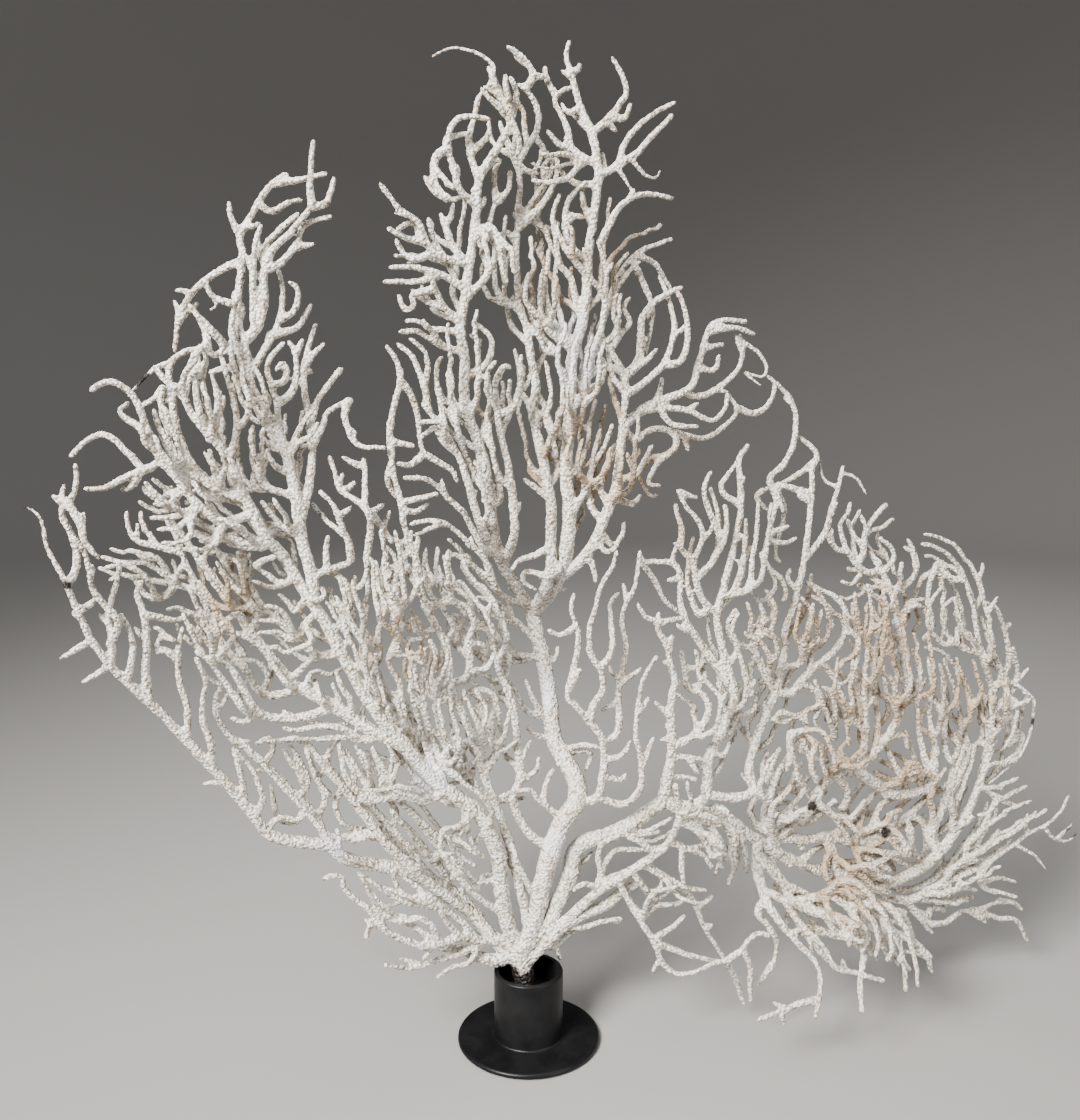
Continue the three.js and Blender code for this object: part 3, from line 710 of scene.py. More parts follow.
            "898,928 914,942 930,958 912,952 900,953",
            "884,918 880,938 890,960",
            "826,915 834,928 850,940 858,940",
            "795,930 806,928 816,930",
            "846,968 842,960",
            "900,962 910,970",
        ],
    ),
}
# Finer strands, each drawn from its root to its tip, that grow from the nearest strand above.
FINE_ROUTES = [
    "367,555 371,529 367,511 357,501 345,494 338,487 335,473 330,457",
    "352,562 348,543 341,525 334,506 320,492", "345,490 349,487 355,483", "342,515 346,511 350,507",
    "369,504 365,480 364,459", "364,466 358,465 350,461 343,457", "373,513 378,508 383,505",
    "373,515 383,529 392,543", "299,578 285,557 271,541", "261,623 257,611 243,595 229,581 217,562",
    "252,634 243,618 229,602 217,583 203,562", "250,564 262,561 275,557",
    "226,634 222,618 210,602 198,581", "261,548 238,541 210,529 187,515 163,501 145,483",
    "252,515 238,501 217,485 196,469", "258,550 240,546 215,538 195,532", "185,548 175,533 165,520",
    "222,478 214,466 209,450", "285,455 270,432 257,410 246,388 240,375",
    "252,716 241,705 227,686 215,668 199,647 189,626", "252,668 244,655 236,642 229,628",
    "300,692 288,684 278,672 268,657", "330,712 321,697 315,680", "344,714 339,700 332,684",
    "372,740 345,737 320,739 297,738 275,741", "360,733 340,728 315,727 295,731 283,728",
    "330,795 320,785 313,770 308,755 305,742", "308,790 300,775 291,762 284,750",
    "380,806 368,788 356,768 346,750", "406,804 394,788 383,767 372,748",
    "392,720 384,703 379,680 375,654", "434,772 428,752 422,730 415,708 411,689",
    "454,775 447,755 440,731 433,705", "420,880 405,860 390,842 374,825 357,810",
    "446,878 430,854 412,832 391,810", "440,838 418,819 400,803 380,786", "280,822 274,804 271,786",
    "250,800 243,784 238,765 233,748", "720,560 724,540 727,522 724,505",
    "734,600 740,575 745,548 746,520", "700,615 692,600 688,580 689,558 693,538",
    "755,650 756,632 764,618 760,604 750,590", "752,700 748,682 742,662",
    "806,668 812,650 818,632 812,612 802,598", "862,720 858,690 856,655 850,640",
    "690,818 703,834 715,850 722,868", "725,822 733,842 736,862 728,884",
    "650,872 670,880 688,888 706,890", "770,850 774,868 777,890", "788,880 798,890 810,895",
    "865,900 872,920 880,940 890,960", "880,905 888,925 893,945 898,965", "900,905 908,925 915,945",
    "850,905 858,925 866,945 872,955", "820,925 835,935 850,940 862,950",
    "850,845 862,855 875,862 890,870", "880,850 895,858 910,866 925,862",
    "845,870 860,880 875,890 890,893", "905,830 912,848 920,862", "820,805 832,815 842,828 850,842",
    "800,830 812,820 822,812 835,800", "990,680 985,661 978,638 974,610 967,587",
    "1004,680 995,657 988,638 981,617", "860,765 866,730 864,690 868,650 872,615 868,585",
    "874,750 878,720 874,680 878,640 880,600", "940,780 936,750 930,720 932,690 928,660",
    "950,760 944,735 948,700 940,665", "950,780 958,750 960,720 955,690 944,660",
    "976,790 984,760 988,730 984,700 976,672", "990,750 992,720 990,690", "905,785 895,765 885,745",
    "935,790 925,785 915,760 905,730", "930,800 915,775 900,770 880,760",
    "838,735 830,720 822,700 815,680", "840,730 835,710 830,690", "780,712 795,716 808,724",
    "488,492 478,482 469,464 462,446 452,433 444,424", "500,500 496,470 490,445 489,425",
    "498,378 504,366 510,368", "490,582 481,572 469,563 457,555 446,557",
    "538,645 527,632 514,618 502,606 492,600 480,597", "545,712 534,700 528,686 526,680",
    "545,662 553,660 557,652 557,647", "521,780 530,775 537,768 539,758", "519,765 526,752 530,742",
    "562,752 581,745 602,748", "640,768 648,752 654,738", "622,684 632,675 640,669",
    "638,712 644,705 648,698", "400,650 394,612 389,587 387,563 384,545 381,530",
    "497,752 508,748 516,740", "462,800 466,818 472,845 484,858", "466,815 460,835 452,842",
    "458,872 440,850 420,825 400,800 381,780", "541,905 530,888 520,870 514,852 508,835 500,818",
    "478,884 466,872 452,858", "474,893 462,882 448,866", "500,879 489,881 478,883",
    "540,950 556,944 568,934 586,926 604,920 620,922", "600,880 612,876 625,870",
    "450,150 446,140 455,136 470,133", "510,122 500,108 488,96 482,88", "511,120 505,100 497,86 492,74",
    "513,115 508,95 505,76", "518,165 510,148 503,132 500,122", "500,205 495,190 494,172 500,160",
    "503,205 508,190 510,172", "520,225 535,212 548,195 556,178 557,160",
    "519,224 530,205 540,190 548,178", "566,345 556,328 548,305 545,285 548,262 550,248",
    "570,340 561,320 555,290 557,260", "562,350 548,330 540,306 540,288 543,270",
    "556,352 540,335 530,312 532,296 530,285", "585,275 572,258 562,240 555,225",
    "590,225 584,205 583,185", "612,310 618,288 630,270 640,262", "447,240 446,225 452,214 453,204",
    "420,238 416,226 406,224 398,230", "440,310 425,300 412,290", "577,110 568,112 562,104",
    "590,130 580,122 573,115", "519,164 528,171 538,173", "594,184 578,184 566,176 558,168",
    "243,365 235,345 232,322 236,303 240,290", "262,262 268,243 282,228 298,214",
    "262,265 258,250 258,234", "208,350 205,330 196,314 190,305", "224,345 212,330 200,318 194,312",
    "180,325 178,312 175,302", "236,304 226,302 214,297 208,290", "238,322 243,312 242,304",
    "272,384 284,381 287,370 282,363 276,370", "304,368 312,372", "250,395 238,378 232,358 231,340",
    "236,352 222,352 212,356", "240,366 222,368 210,373", "185,400 186,385 194,370 198,360",
    "381,869 343,855 318,825 280,783 242,741", "368,796 347,779 339,745", "406,804 389,783 373,749",
    "436,941 419,930 385,909 360,876", "453,918 419,901 385,888", "461,914 436,901 402,876",
    "499,918 478,897 453,867",
]
# Stout strands that widen the holdfast and the trunks just above it.
STOUT_ROUTES = [
    "469,918 436,888 389,846 360,808 318,758", "521,968 510,956 498,945 488,930",
    "521,968 532,956 544,944 552,925", "500,960 480,957 462,949 440,947",
    "545,945 565,924 585,914 605,905 622,892 640,882",
]


def from_view(px, py, depth):
    """A point of the front view, placed at a depth behind the foot's axis, in millimetres."""
    right = (px - VIEW_CENTRE[0]) / VIEW_FOCAL
    down = (py - VIEW_CENTRE[1]) / VIEW_FOCAL
    forward = math.cos(VIEW_PITCH) - down * math.sin(VIEW_PITCH)
    fall = math.sin(VIEW_PITCH) + down * math.cos(VIEW_PITCH)
    reach = (depth - VIEW_EYE[1]) / forward
    return (VIEW_EYE[0] + right * reach, depth, VIEW_EYE[2] - fall * reach)


def to_view(points):
    """Front-view places of many points, given in millimetres."""
    rel = points - np.array(VIEW_EYE)
    forward = rel[:, 1] * math.cos(VIEW_PITCH) - rel[:, 2] * math.sin(VIEW_PITCH)
    down = -rel[:, 1] * math.sin(VIEW_PITCH) - rel[:, 2] * math.cos(VIEW_PITCH)
    return np.stack([VIEW_CENTRE[0] + VIEW_FOCAL * rel[:, 0] / forward,
                     VIEW_CENTRE[1] + VIEW_FOCAL * down / forward], axis=1)


def sheet_depth(px):
    return SHEET_SLANT * (px - FOOT_CENTRE_PX) / SHEET_HALF_WIDTH_PX


def span(a, b):
    return math.hypot(a[0] - b[0], a[1] - b[1])


def mix(a, b, t):
    return a + (b - a) * t


def between(a, b, t):
    """The point of the front view at a share of the way from one point to another."""
    return (mix(a[0], b[0], t), mix(a[1], b[1], t))


def along_route(route):
    """The length along a route at each of its points."""
    along = [0.0]
    for a, b in zip(route, route[1:]):
        along.append(along[-1] + span(a, b))
    return along


def nearest_on(route, point):
    """(distance, segment, parameter) of the place on a route that is nearest to a point."""
    best = (1e9, 0, 0.0)
    for i in range(len(route) - 1):
        a, b = route[i], route[i + 1]
        length = span(a, b) ** 2 or 1e-9
        t = ((point[0] - a[0]) * (b[0] - a[0]) + (point[1] - a[1]) * (b[1] - a[1])) / length
        t = min(max(t, 0.0), 1.0)
        away = span(point, between(a, b, t))
        if away < best[0]:
            best = (away, i, t)
    return best


def nearest_pair(a, b, c, d):
    """(distance, parameter on ab, parameter on cd) where two straight pieces of route are nearest."""
    turn = (b[0] - a[0]) * (d[1] - c[1]) - (b[1] - a[1]) * (d[0] - c[0])
    if turn:
        s = ((c[0] - a[0]) * (d[1] - c[1]) - (c[1] - a[1]) * (d[0] - c[0])) / turn
        t = ((c[0] - a[0]) * (b[1] - a[1]) - (c[1] - a[1]) * (b[0] - a[0])) / turn
        if 0 <= s <= 1 and 0 <= t <= 1:
            return 0.0, s, t
    ends = []
    for s, point in ((0.0, a), (1.0, b)):
        away, _, t = nearest_on((c, d), point)
        ends.append((away, s, t))
    for t, point in ((0.0, c), (1.0, d)):
        away, _, s = nearest_on((a, b), point)
        ends.append((away, s, t))
    return min(ends, key=lambda e: e[0])


def straighten(route):
    """Drops the points of a route that lie nearly on the line between their neighbours."""
    if len(route) < 3:
        return list(route)
    a, b = route[0], route[-1]
    worst, at = 0.0, 0
    for i in range(1, len(route) - 1):
        cross = (b[0] - a[0]) * (route[i][1] - a[1]) - (b[1] - a[1]) * (route[i][0] - a[0])
        away = abs(cross) / max(span(a, b), 1e-6)
        if away > worst:
            worst, at = away, i
    if worst < STRAIGHT_ENOUGH * PX_PER_MM:
        return [a, b]
    return straighten(route[:at + 1]) + straighten(route[at:])[1:]


class Strand:
    """One growing line of the fan: a route in the front view, with a depth and a radius at each point."""

    def __init__(self, limb, drawn, girth, parents, lean, plain=False):
        # dull_shade is how much painted shade the strand takes in the crust's tan.
        self.limb, self.girth, self.dull_shade = limb, girth, 0.0
        self.parent, self.place = None, None
        self.drawn = list(drawn)
        self.route = straighten(drawn) if plain else list(drawn)
        for other in parents:
            near = nearest_on(other.route, self.route[0])
            if self.place is None or near[0] < self.place[0] - NEARER_PX:
                self.place, self.parent = near, other
        if self.parent:
            _, i, t = self.place
            self.route[0] = between(self.parent.route[i], self.parent.route[i + 1], t)
        self.along = along_route(self.route)
        whole = self.along[-1]
        root = 0.0
        if self.parent:
            root = self.parent.depth_at(*self.place[1:]) - sheet_depth(self.route[0][0])
        tip = lean(root, whole)
        self.depth = [sheet_depth(p[0]) + mix(root, tip, s / whole)
                      for p, s in zip(self.route, self.along)]
        self.home = list(self.depth)
        self.radius = [mix(girth[0], girth[1], s / whole) for s in self.along]
        xs, ys = [p[0] for p in self.route], [p[1] for p in self.route]
        self.box = (min(xs), min(ys), max(xs), max(ys))

    def depth_at(self, index, t):
        return mix(self.depth[index], self.depth[index + 1], t)


def crossings_of(one, two, fork=FORK_LENGTH):
    """Where two strands cross in the front view, and how far apart in depth they have to be there."""
    margin = (max(one.radius) + max(two.radius) + CROSSING_AIR) * PX_PER_MM
    if (one.box[0] > two.box[2] + margin or two.box[0] > one.box[2] + margin
            or one.box[1] > two.box[3] + margin or two.box[1] > one.box[3] + margin):
        return []
    found = []
    for i in range(len(one.route) - 1):
        for j in range(len(two.route) - 1):
            away, s, t = nearest_pair(one.route[i], one.route[i + 1], two.route[j], two.route[j + 1])
            air = mix(one.radius[i], one.radius[i + 1], s) + mix(two.radius[j], two.radius[j + 1], t)
            air += CROSSING_AIR
            away /= PX_PER_MM
            if away >= air:
                continue
            along_one = mix(one.along[i], one.along[i + 1], s) / PX_PER_MM
            along_two = mix(two.along[j], two.along[j + 1], t) / PX_PER_MM
            kin = two.parent is one and along_two < FREE_LENGTH + one.radius[i]
            back = one.parent is two and along_one < FREE_LENGTH
            twins = one.parent is two.parent and max(along_one, along_two) < fork
            where = between(one.route[i], one.route[i + 1], s)
            grown = span(where, HOLDFAST_PX) < HOLDFAST_REACH * PX_PER_MM
            if not (kin or back or twins or grown):
                found.append((one, two, i, j, s, t, math.sqrt(air * air - away * away)))
    return found


def ease_apart(crossings, movers):
    """Eases crossing strands apart along the line of sight, so the front view stays as it is drawn."""
    moving = set(map(id, movers))
    for _ in range(SPREAD_ROUNDS):
        for one, two, i, j, s, t, need in crossings:
            ahead = two.depth_at(j, t) - one.depth_at(i, s)
            short = need - abs(ahead)
            if short <= 0:
                continue
            push = (-1 if ahead < 0 else 1) * short * PUSH_SHARE
            if id(one) in moving:
                one.depth[i] -= push * (1 - s)
                one.depth[i + 1] -= push * s
            if id(two) in moving:
                two.depth[j] += push * (1 - t)
                two.depth[j + 1] += push * t
        for strand in movers:
            depth = strand.depth
            for k in range(1, len(depth) - 1):
                depth[k] = mix(depth[k], (depth[k - 1] + depth[k + 1]) / 2, EASING)
            for k in range(len(depth)):
                depth[k] = mix(depth[k], strand.home[k], HOMING)
            if strand.parent:
                depth[0] = strand.parent.depth_at(*strand.place[1:])


def read_route(text):
    return [tuple(float(v) for v in pair.split(",")) for pair in text.split()]


def swung(turn, start=None):
    """The lean of a twig's tip: to the back and to the front by turns, and more for a longer twig."""
    side = 1 if turn % 2 else -1
    return lambda root, whole: (root if start is None else start) + TWIG_SWING * whole * side


def grow_drawn_strands():
    """All drawn strands: the long ones stand where the solids are, and the short ones fit in between."""
    solid, short = [], []
    by_limb = {}
    waiting = []
    for limb, plan in LIMBS.items():
        trunk = by_limb[plan["grows_from"]][:1] if "grows_from" in plan else []
        own = [Strand(limb, read_route(plan["route"]), plan["girth"], trunk,
                      lambda root, whole: plan["lean"], True)]
        by_limb[limb] = own
        for key, girth in (("branches", BRANCH_GIRTH), ("twigs", TWIG_GIRTH), ("thin", THIN_GIRTH)):
            for text in plan.get(key, []):
                drawn = read_route(text)
                if key != "branches" and along_route(drawn)[-1] < SHORTEST_SOLID_TWIG_PX:
                    waiting.append((limb, drawn, girth))
                    continue
                own.append(Strand(limb, drawn, girth, own, swung(len(own), plan.get("side_lean")), True))
        solid += own
    crossings = []
    for k, one in enumerate(solid):
        for two in solid[k + 1:]:
            crossings += crossings_of(one, two)
    ease_apart(crossings, solid)
    for strand in solid:
        refine(strand)
    for k, (limb, drawn, girth) in enumerate(waiting):
        own = by_limb[limb]
        twig = Strand(limb, drawn, girth, own, swung(k))
        own.append(twig)
        short.append(twig)
    extra = [(text, STOUT_GIRTH) for text in STOUT_ROUTES]
    extra += [(text, TWIG_GIRTH) for text in FINE_ROUTES]
    for k, (text, girth) in enumerate(extra):
        drawn = read_route(text)
        host = min(solid + short, key=lambda other: nearest_on(other.route, drawn[0])[0])
        if nearest_on(host.route, drawn[0])[0] > FINE_JOIN_PX:
            drawn.insert(0, drawn[0])
        short.append(Strand(host.limb, drawn, girth, [host], swung(k)))
    crossings = []
    for k, one in enumerate(short):
        for two in solid + short[:k]:
            crossings += crossings_of(one, two, TWIN_LENGTH)
    ease_apart(crossings, short)
    # Short strands take painted shade by turns.
    for k, twig in enumerate(short):
        twig.dull_shade = SHADE_STEP * (k % SHADE_STEPS)
    return solid + short


def refine(strand):
    """Gives a straightened strand back every point of its drawn route, at the depth of its solid."""
    depth = []
    drawn = [strand.route[0]] + strand.drawn[1:]
    for point in drawn:
        _, i, t = nearest_on(strand.route, point)
        depth.append(strand.depth_at(i, t))
    strand.route, strand.depth = drawn, depth
    strand.along = along_route(drawn)
    whole = strand.along[-1]
    strand.radius = [mix(strand.girth[0], strand.girth[1], s / whole) for s in strand.along]


def points_of(strand):
    return [from_view(p[0], p[1], d) for p, d in zip(strand.route, strand.depth)]


class Room:
    """Knows where strands already are, so that a new twig is only grown where there is air."""

    STEP = 2.0
    CELL = 8.0

    def __init__(self):
        self.cells = {}

    def cell(self, place):
        return tuple(int(v // self.CELL) for v in place)

    def add(self, points, radius, owner):
        for (p, q, r, s) in zip(points, points[1:], radius, radius[1:]):
            n = max(1, int(math.dist(p, q) / self.STEP))
            for k in range(n + 1):
                t = k / n
                place = tuple(mix(a, b, t) for a, b in zip(p, q))
                self.cells.setdefault(self.cell(place), []).append((place, mix(r, s, t), owner))

    def clear(self, point, radius, air, owner):
        cx, cy, cz = self.cell(point)
        for i in (cx - 1, cx, cx + 1):
            for j in (cy - 1, cy, cy + 1):
                for k in (cz - 1, cz, cz + 1):
                    for place, thick, other in self.cells.get((i, j, k), ()):
                        if other is not owner and math.dist(place, point) < radius + thick + air:
                            return False
        return True


# Twigs grown beside the drawn ones. Lengths are in millimetres, or in pixels of the front view (PX).
TWIG_SEED = 11
TWIG_AIR = 1.4
LOWEST_TWIG = 10.0
ROOT_LENGTH = 5.0
BOX_SLACK = 1.0
# Where the fan is thick with strands side by side: centre and half sizes in the front view.
THICKETS = [(235, 530, 105, 150), (430, 690, 95, 180), (520, 300, 100, 200), (600, 460, 42, 90),
            (850, 720, 190, 205), (640, 870, 55, 38)]
DENSE_THICKETS = [(860, 780, 170, 165), (235, 530, 85, 105), (600, 440, 50, 110), (430, 660, 80, 130)]
COMPANION_GIRTH = (1.9, 1.5)
COMPANION_GAP_PX = (10.0, 16.0)
COMPANION_DEPTHS = (4.5, -4.5, 8.0, -8.0, 11.0)
COMPANION_SHORTEST_PX = 34.0
COMPANION_REACH_PX = (60.0, 140.0)
COMPANION_HOST_PX = 45.0
COMPANION_FIRST = (0.0, 0.4)
COMPANION_NEXT = (0.7, 1.1)
COMPANION_STEP_PX = 7.0
COMPANION_PARTING_PX = 26.0
COMPANION_SINKING_PX = 30.0
COMPANION_WOBBLE_PX = 1.3
# How much painted shade a companion takes, as an inner layer of the sheet.
COMPANION_SHADE = (0.35, 0.9)
STUB_GIRTH = (1.75, 1.4)
STUB_SPACING = 34.0
STUB_FIRST = (0.3, 1.2)
STUB_NEXT = (0.6, 1.5)
STUB_TIP_PX = 28.0
STUB_LENGTH = (3.0, 9.0)
STUB_SPREAD = (30.0, 70.0)
STUB_TRIES = 3
STUB_STEPS = 3
STUB_BEND = 0.25
STUB_RIGHTING = 0.15
STUB_SINKING = 0.8


def in_thicket(point, thickets):
    return any(((point[0] - x) / w) ** 2 + ((point[1] - y) / h) ** 2 < 1.0 for x, y, w, h in thickets)


def place_at(strand, s):
    """(segment, parameter, point, heading) at a length along a strand's route."""
    i = max(k for k in range(len(strand.along) - 1) if strand.along[k] <= s)
    t = (s - strand.along[i]) / max(strand.along[i + 1] - strand.along[i], 1e-6)
    a, b = strand.route[i], strand.route[i + 1]
    return i, t, between(a, b, t), math.atan2(b[1] - a[1], b[0] - a[0])


def clear_run(room, host, route, depth, radius):
    """How many points of a new twig, from its root on, have air around them."""
    points = [from_view(p[0], p[1], d) for p, d in zip(route, depth)]
    for k in range(1, len(points)):
        if points[k][2] < LOWEST_TWIG or not inside_box(points[k]):
            return k
        past_root = math.dist(points[k], points[0]) > ROOT_LENGTH
        if past_root and not room.clear(points[k], radius[k], TWIG_AIR, host):
            return k
    return len(points)


def sprout(room, host, i, t, route, depth, radius, dull_shade):
    """A new twig on its host, at a place that has been found clear."""
    twig = Strand.__new__(Strand)
    twig.limb, twig.girth = host.limb, (radius[0], radius[-1])
    twig.parent, twig.place = host, (0.0, i, t)
    twig.route, twig.depth, twig.radius = route, depth, radius
    twig.along = along_route(route)
    # How much painted shade the twig takes.
    twig.dull_shade = dull_shade
    room.add(points_of(twig), radius, twig)
    return twig


def beside(strand, start, reach, gap, side, aside, rng):
    """Route and depth of a twig that leaves a strand and runs on beside it."""
    i, t, root, _ = place_at(strand, start)
    route, depth = [root], [strand.depth_at(i, t)]
    s = start
    while s + COMPANION_STEP_PX < min(strand.along[-1], start + reach):
        s += COMPANION_STEP_PX
        i, t, on, heading = place_at(strand, s)
        parted = min(1.0, (s - start) / COMPANION_PARTING_PX)
        away = gap * parted * parted * (3 - 2 * parted)
        away += rng.uniform(-COMPANION_WOBBLE_PX, COMPANION_WOBBLE_PX)
        route.append((on[0] - math.sin(heading) * away * side, on[1] + math.cos(heading) * away * side))
        depth.append(strand.depth_at(i, t) + aside * min(1.0, (s - start) / COMPANION_SINKING_PX))
    return route, depth


def longest_companion(strand, start, reach, gap, side, thickets, room, rng):
    """The companion that runs furthest before it meets a neighbour, at one depth or another."""
    best = ([], [], [])
    for aside in COMPANION_DEPTHS:
        route, depth = beside(strand, start, reach, gap, side, aside, rng)
        if not in_thicket(route[len(route) // 2], thickets):
            break
        radius = [mix(*COMPANION_GIRTH, k / max(len(route) - 1, 1)) for k in range(len(route))]
        run = clear_run(room, strand, route, depth, radius)
        if run > len(best[0]):
            best = (route[:run], depth[:run], radius[:run])
        if run == len(route):
            break
    return best


def grow_companions(strands, thickets, room, rng):
    """In the thickets, twigs that leave a strand and run on beside it until they meet a neighbour."""
    grown = []
    for strand in strands:
        whole = strand.along[-1]
        if strand.limb == "stem" or whole < COMPANION_HOST_PX:
            continue
        for side in (-1, 1):
            start = rng.uniform(*COMPANION_FIRST) * whole
            while start < whole - COMPANION_SHORTEST_PX:
                gap = rng.uniform(*COMPANION_GAP_PX)
                reach = rng.uniform(*COMPANION_REACH_PX)
                best = longest_companion(strand, start, reach, gap, side, thickets, room, rng)
                if along_route(best[0])[-1] > COMPANION_SHORTEST_PX:
                    i, t, _, _ = place_at(strand, start)
                    grown.append(sprout(room, strand, i, t, *best, rng.uniform(*COMPANION_SHADE)))
                start += reach * rng.uniform(*COMPANION_NEXT)
    return grown


def grow_stubs(strands, room, rng):
    """Short stubs here and there along every strand."""
    grown = []
    for strand in strands:
        if strand.limb == "stem" or strand.girth == THIN_GIRTH:
            continue
        s = rng.uniform(*STUB_FIRST) * STUB_SPACING * PX_PER_MM
        while s < strand.along[-1] - STUB_TIP_PX:
            i, t, root, heading = place_at(strand, s)
            for _ in range(STUB_TRIES):
                turn = rng.choice((-1, 1)) * math.radians(rng.uniform(*STUB_SPREAD))
                length = rng.uniform(*STUB_LENGTH) * PX_PER_MM
                angle = heading + turn
                route, depth = [root], [strand.depth_at(i, t)]
                for _ in range(STUB_STEPS):
                    angle += rng.uniform(-STUB_BEND, STUB_BEND) - turn * STUB_RIGHTING
                    px, py = route[-1]
                    route.append((px + math.cos(angle) * length / STUB_STEPS,
                                  py + math.sin(angle) * length / STUB_STEPS))
                    depth.append(depth[-1] + rng.uniform(-STUB_SINKING, STUB_SINKING))
                radius = [mix(*STUB_GIRTH, k / STUB_STEPS) for k in range(STUB_STEPS + 1)]
                if clear_run(room, strand, route, depth, radius) == STUB_STEPS + 1:
                    grown.append(sprout(room, strand, i, t, route, depth, radius, strand.dull_shade))
                    break
            s += rng.uniform(*STUB_NEXT) * STUB_SPACING * PX_PER_MM
    return grown


def grow_small_twigs(strands):
    """All twigs that are grown by rule, from one seed."""
    rng = random.Random(TWIG_SEED)
    room = Room()
    for strand in strands:
        room.add(points_of(strand), strand.radius, strand)
    grown = grow_companions(strands, THICKETS, room, rng)
    grown += grow_companions(strands + grown, DENSE_THICKETS, room, rng)
    return grown + grow_stubs(strands + grown, room, rng)


def inside_box(point):
    """Whether a point lies within the solids' box."""
    return all(low / MM - BOX_SLACK < v < high / MM + BOX_SLACK
               for v, low, high in zip(point, cad_low, cad_high))


# Node helpers.

def node(tree, kind, **settings):
    """A new node, with its settings, and its inputs set or linked."""
    made = tree.nodes.new(kind)
    inputs = settings.pop("inputs", {})
    for key, value in settings.items():
        setattr(made, key, value)
    for key, value in inputs.items():
        socket = made.inputs[key]
        if isinstance(value, bpy.types.NodeSocket):
            tree.links.new(value, socket)
        else:
            socket.default_value = value
    return made


def reckon(tree, operation, *values):
    """The outcome of a math node."""
    return node(tree, "ShaderNodeMath", operation=operation, inputs=dict(enumerate(values))).outputs[0]


def scaled(tree, vector, scale):
    made = node(tree, "ShaderNodeVectorMath", operation="SCALE", inputs={0: vector, "Scale": scale})
    return made.outputs[0]


def finish_tree(tree, enter, leave, geometry):
    """Realizes a tree's geometry, gives it the tree's material and hands it out."""
    whole = node(tree, "GeometryNodeRealizeInstances", inputs={"Geometry": geometry})
    dressed = node(tree, "GeometryNodeSetMaterial",
                   inputs={"Geometry": whole.outputs[0], "Material": enter.outputs["Material"]})
    tree.links.new(dressed.outputs[0], leave.inputs[0])
    return tree


def new_tree(name, sockets):
    tree = bpy.data.node_groups.new(name, "GeometryNodeTree")
    tree.interface.new_socket("Geometry", in_out="INPUT", socket_type="NodeSocketGeometry")
    for label, kind, value in sockets:
        item = tree.interface.new_socket(label, in_out="INPUT", socket_type=kind)
        if value is not None:
            item.default_value = value
    tree.interface.new_socket("Geometry", in_out="OUTPUT", socket_type="NodeSocketGeometry")
    return tree, tree.nodes.new("NodeGroupInput"), tree.nodes.new("NodeGroupOutput")


def set_inputs(modifier, tree, values):
    """Sets a modifier's inputs by their sockets' identifiers."""
    for item in tree.interface.items_tree:
        if item.item_type == "SOCKET" and item.in_out == "INPUT" and item.name in values:
            modifier[item.identifier] = values[item.name]


def strand_tree():
    """Sweeps a round section along each strand, with a wandering centre line and an uneven thickness."""
    tree, enter, leave = new_tree("swept_strands", [
        ("Step", "NodeSocketFloat", 0.0012),
        ("Section Sides", "NodeSocketInt", 9),
        ("Wander", "NodeSocketFloat", 0.0012),
        ("Unevenness", "NodeSocketFloat", 0.45),
        ("Seed", "NodeSocketFloat", 3.0),
        ("Material", "NodeSocketMaterial", None),
    ])
    line = node(tree, "GeometryNodeMeshToCurve", inputs={"Mesh": enter.outputs["Geometry"]})
    smooth = node(tree, "GeometryNodeCurveSplineType", spline_type="CATMULL_ROM",
                  inputs={"Curve": line.outputs[0]})
    fine = node(tree, "GeometryNodeResampleCurve", mode="LENGTH",
                inputs={"Curve": smooth.outputs[0], "Length": enter.outputs["Step"]})
    where = node(tree, "GeometryNodeInputPosition")
    bends = node(tree, "ShaderNodeTexNoise", noise_dimensions="4D", inputs={
        "Vector": where.outputs[0], "W": enter.outputs["Seed"], "Scale": 110.0, "Detail": 1.0})
    centred = node(tree, "ShaderNodeVectorMath", operation="SUBTRACT",
                   inputs={0: bends.outputs["Color"], 1: (0.5, 0.5, 0.5)})
    shift = scaled(tree, centred.outputs[0], enter.outputs["Wander"])
    wander = node(tree, "GeometryNodeSetPosition", inputs={"Geometry": fine.outputs[0], "Offset": shift})
    lumps = node(tree, "ShaderNodeTexNoise", noise_dimensions="4D", inputs={
        "Vector": where.outputs[0], "W": enter.outputs["Seed"], "Scale": 170.0, "Detail": 2.0})
    swing = reckon(tree, "SUBTRACT", lumps.outputs["Fac"], 0.5)
    swell = reckon(tree, "MULTIPLY_ADD", swing, enter.outputs["Unevenness"], 1.0)
    girth = node(tree, "GeometryNodeInputNamedAttribute", data_type="FLOAT", inputs={"Name": "girth"})
    thick = reckon(tree, "MULTIPLY", girth.outputs["Attribute"], swell)
    ring = node(tree, "GeometryNodeCurvePrimitiveCircle",
                inputs={"Resolution": enter.outputs["Section Sides"], "Radius": 1.0})
    sweep = node(tree, "GeometryNodeCurveToMesh", inputs={
        "Curve": wander.outputs[0], "Profile Curve": ring.outputs["Curve"],
        "Scale": thick, "Fill Caps": True})
    return finish_tree(tree, enter, leave, sweep.outputs[0])


# The level, in grain widths from a grain's middle, where the crust is neither raised nor sunk.
GRAIN_LEVEL = 0.42


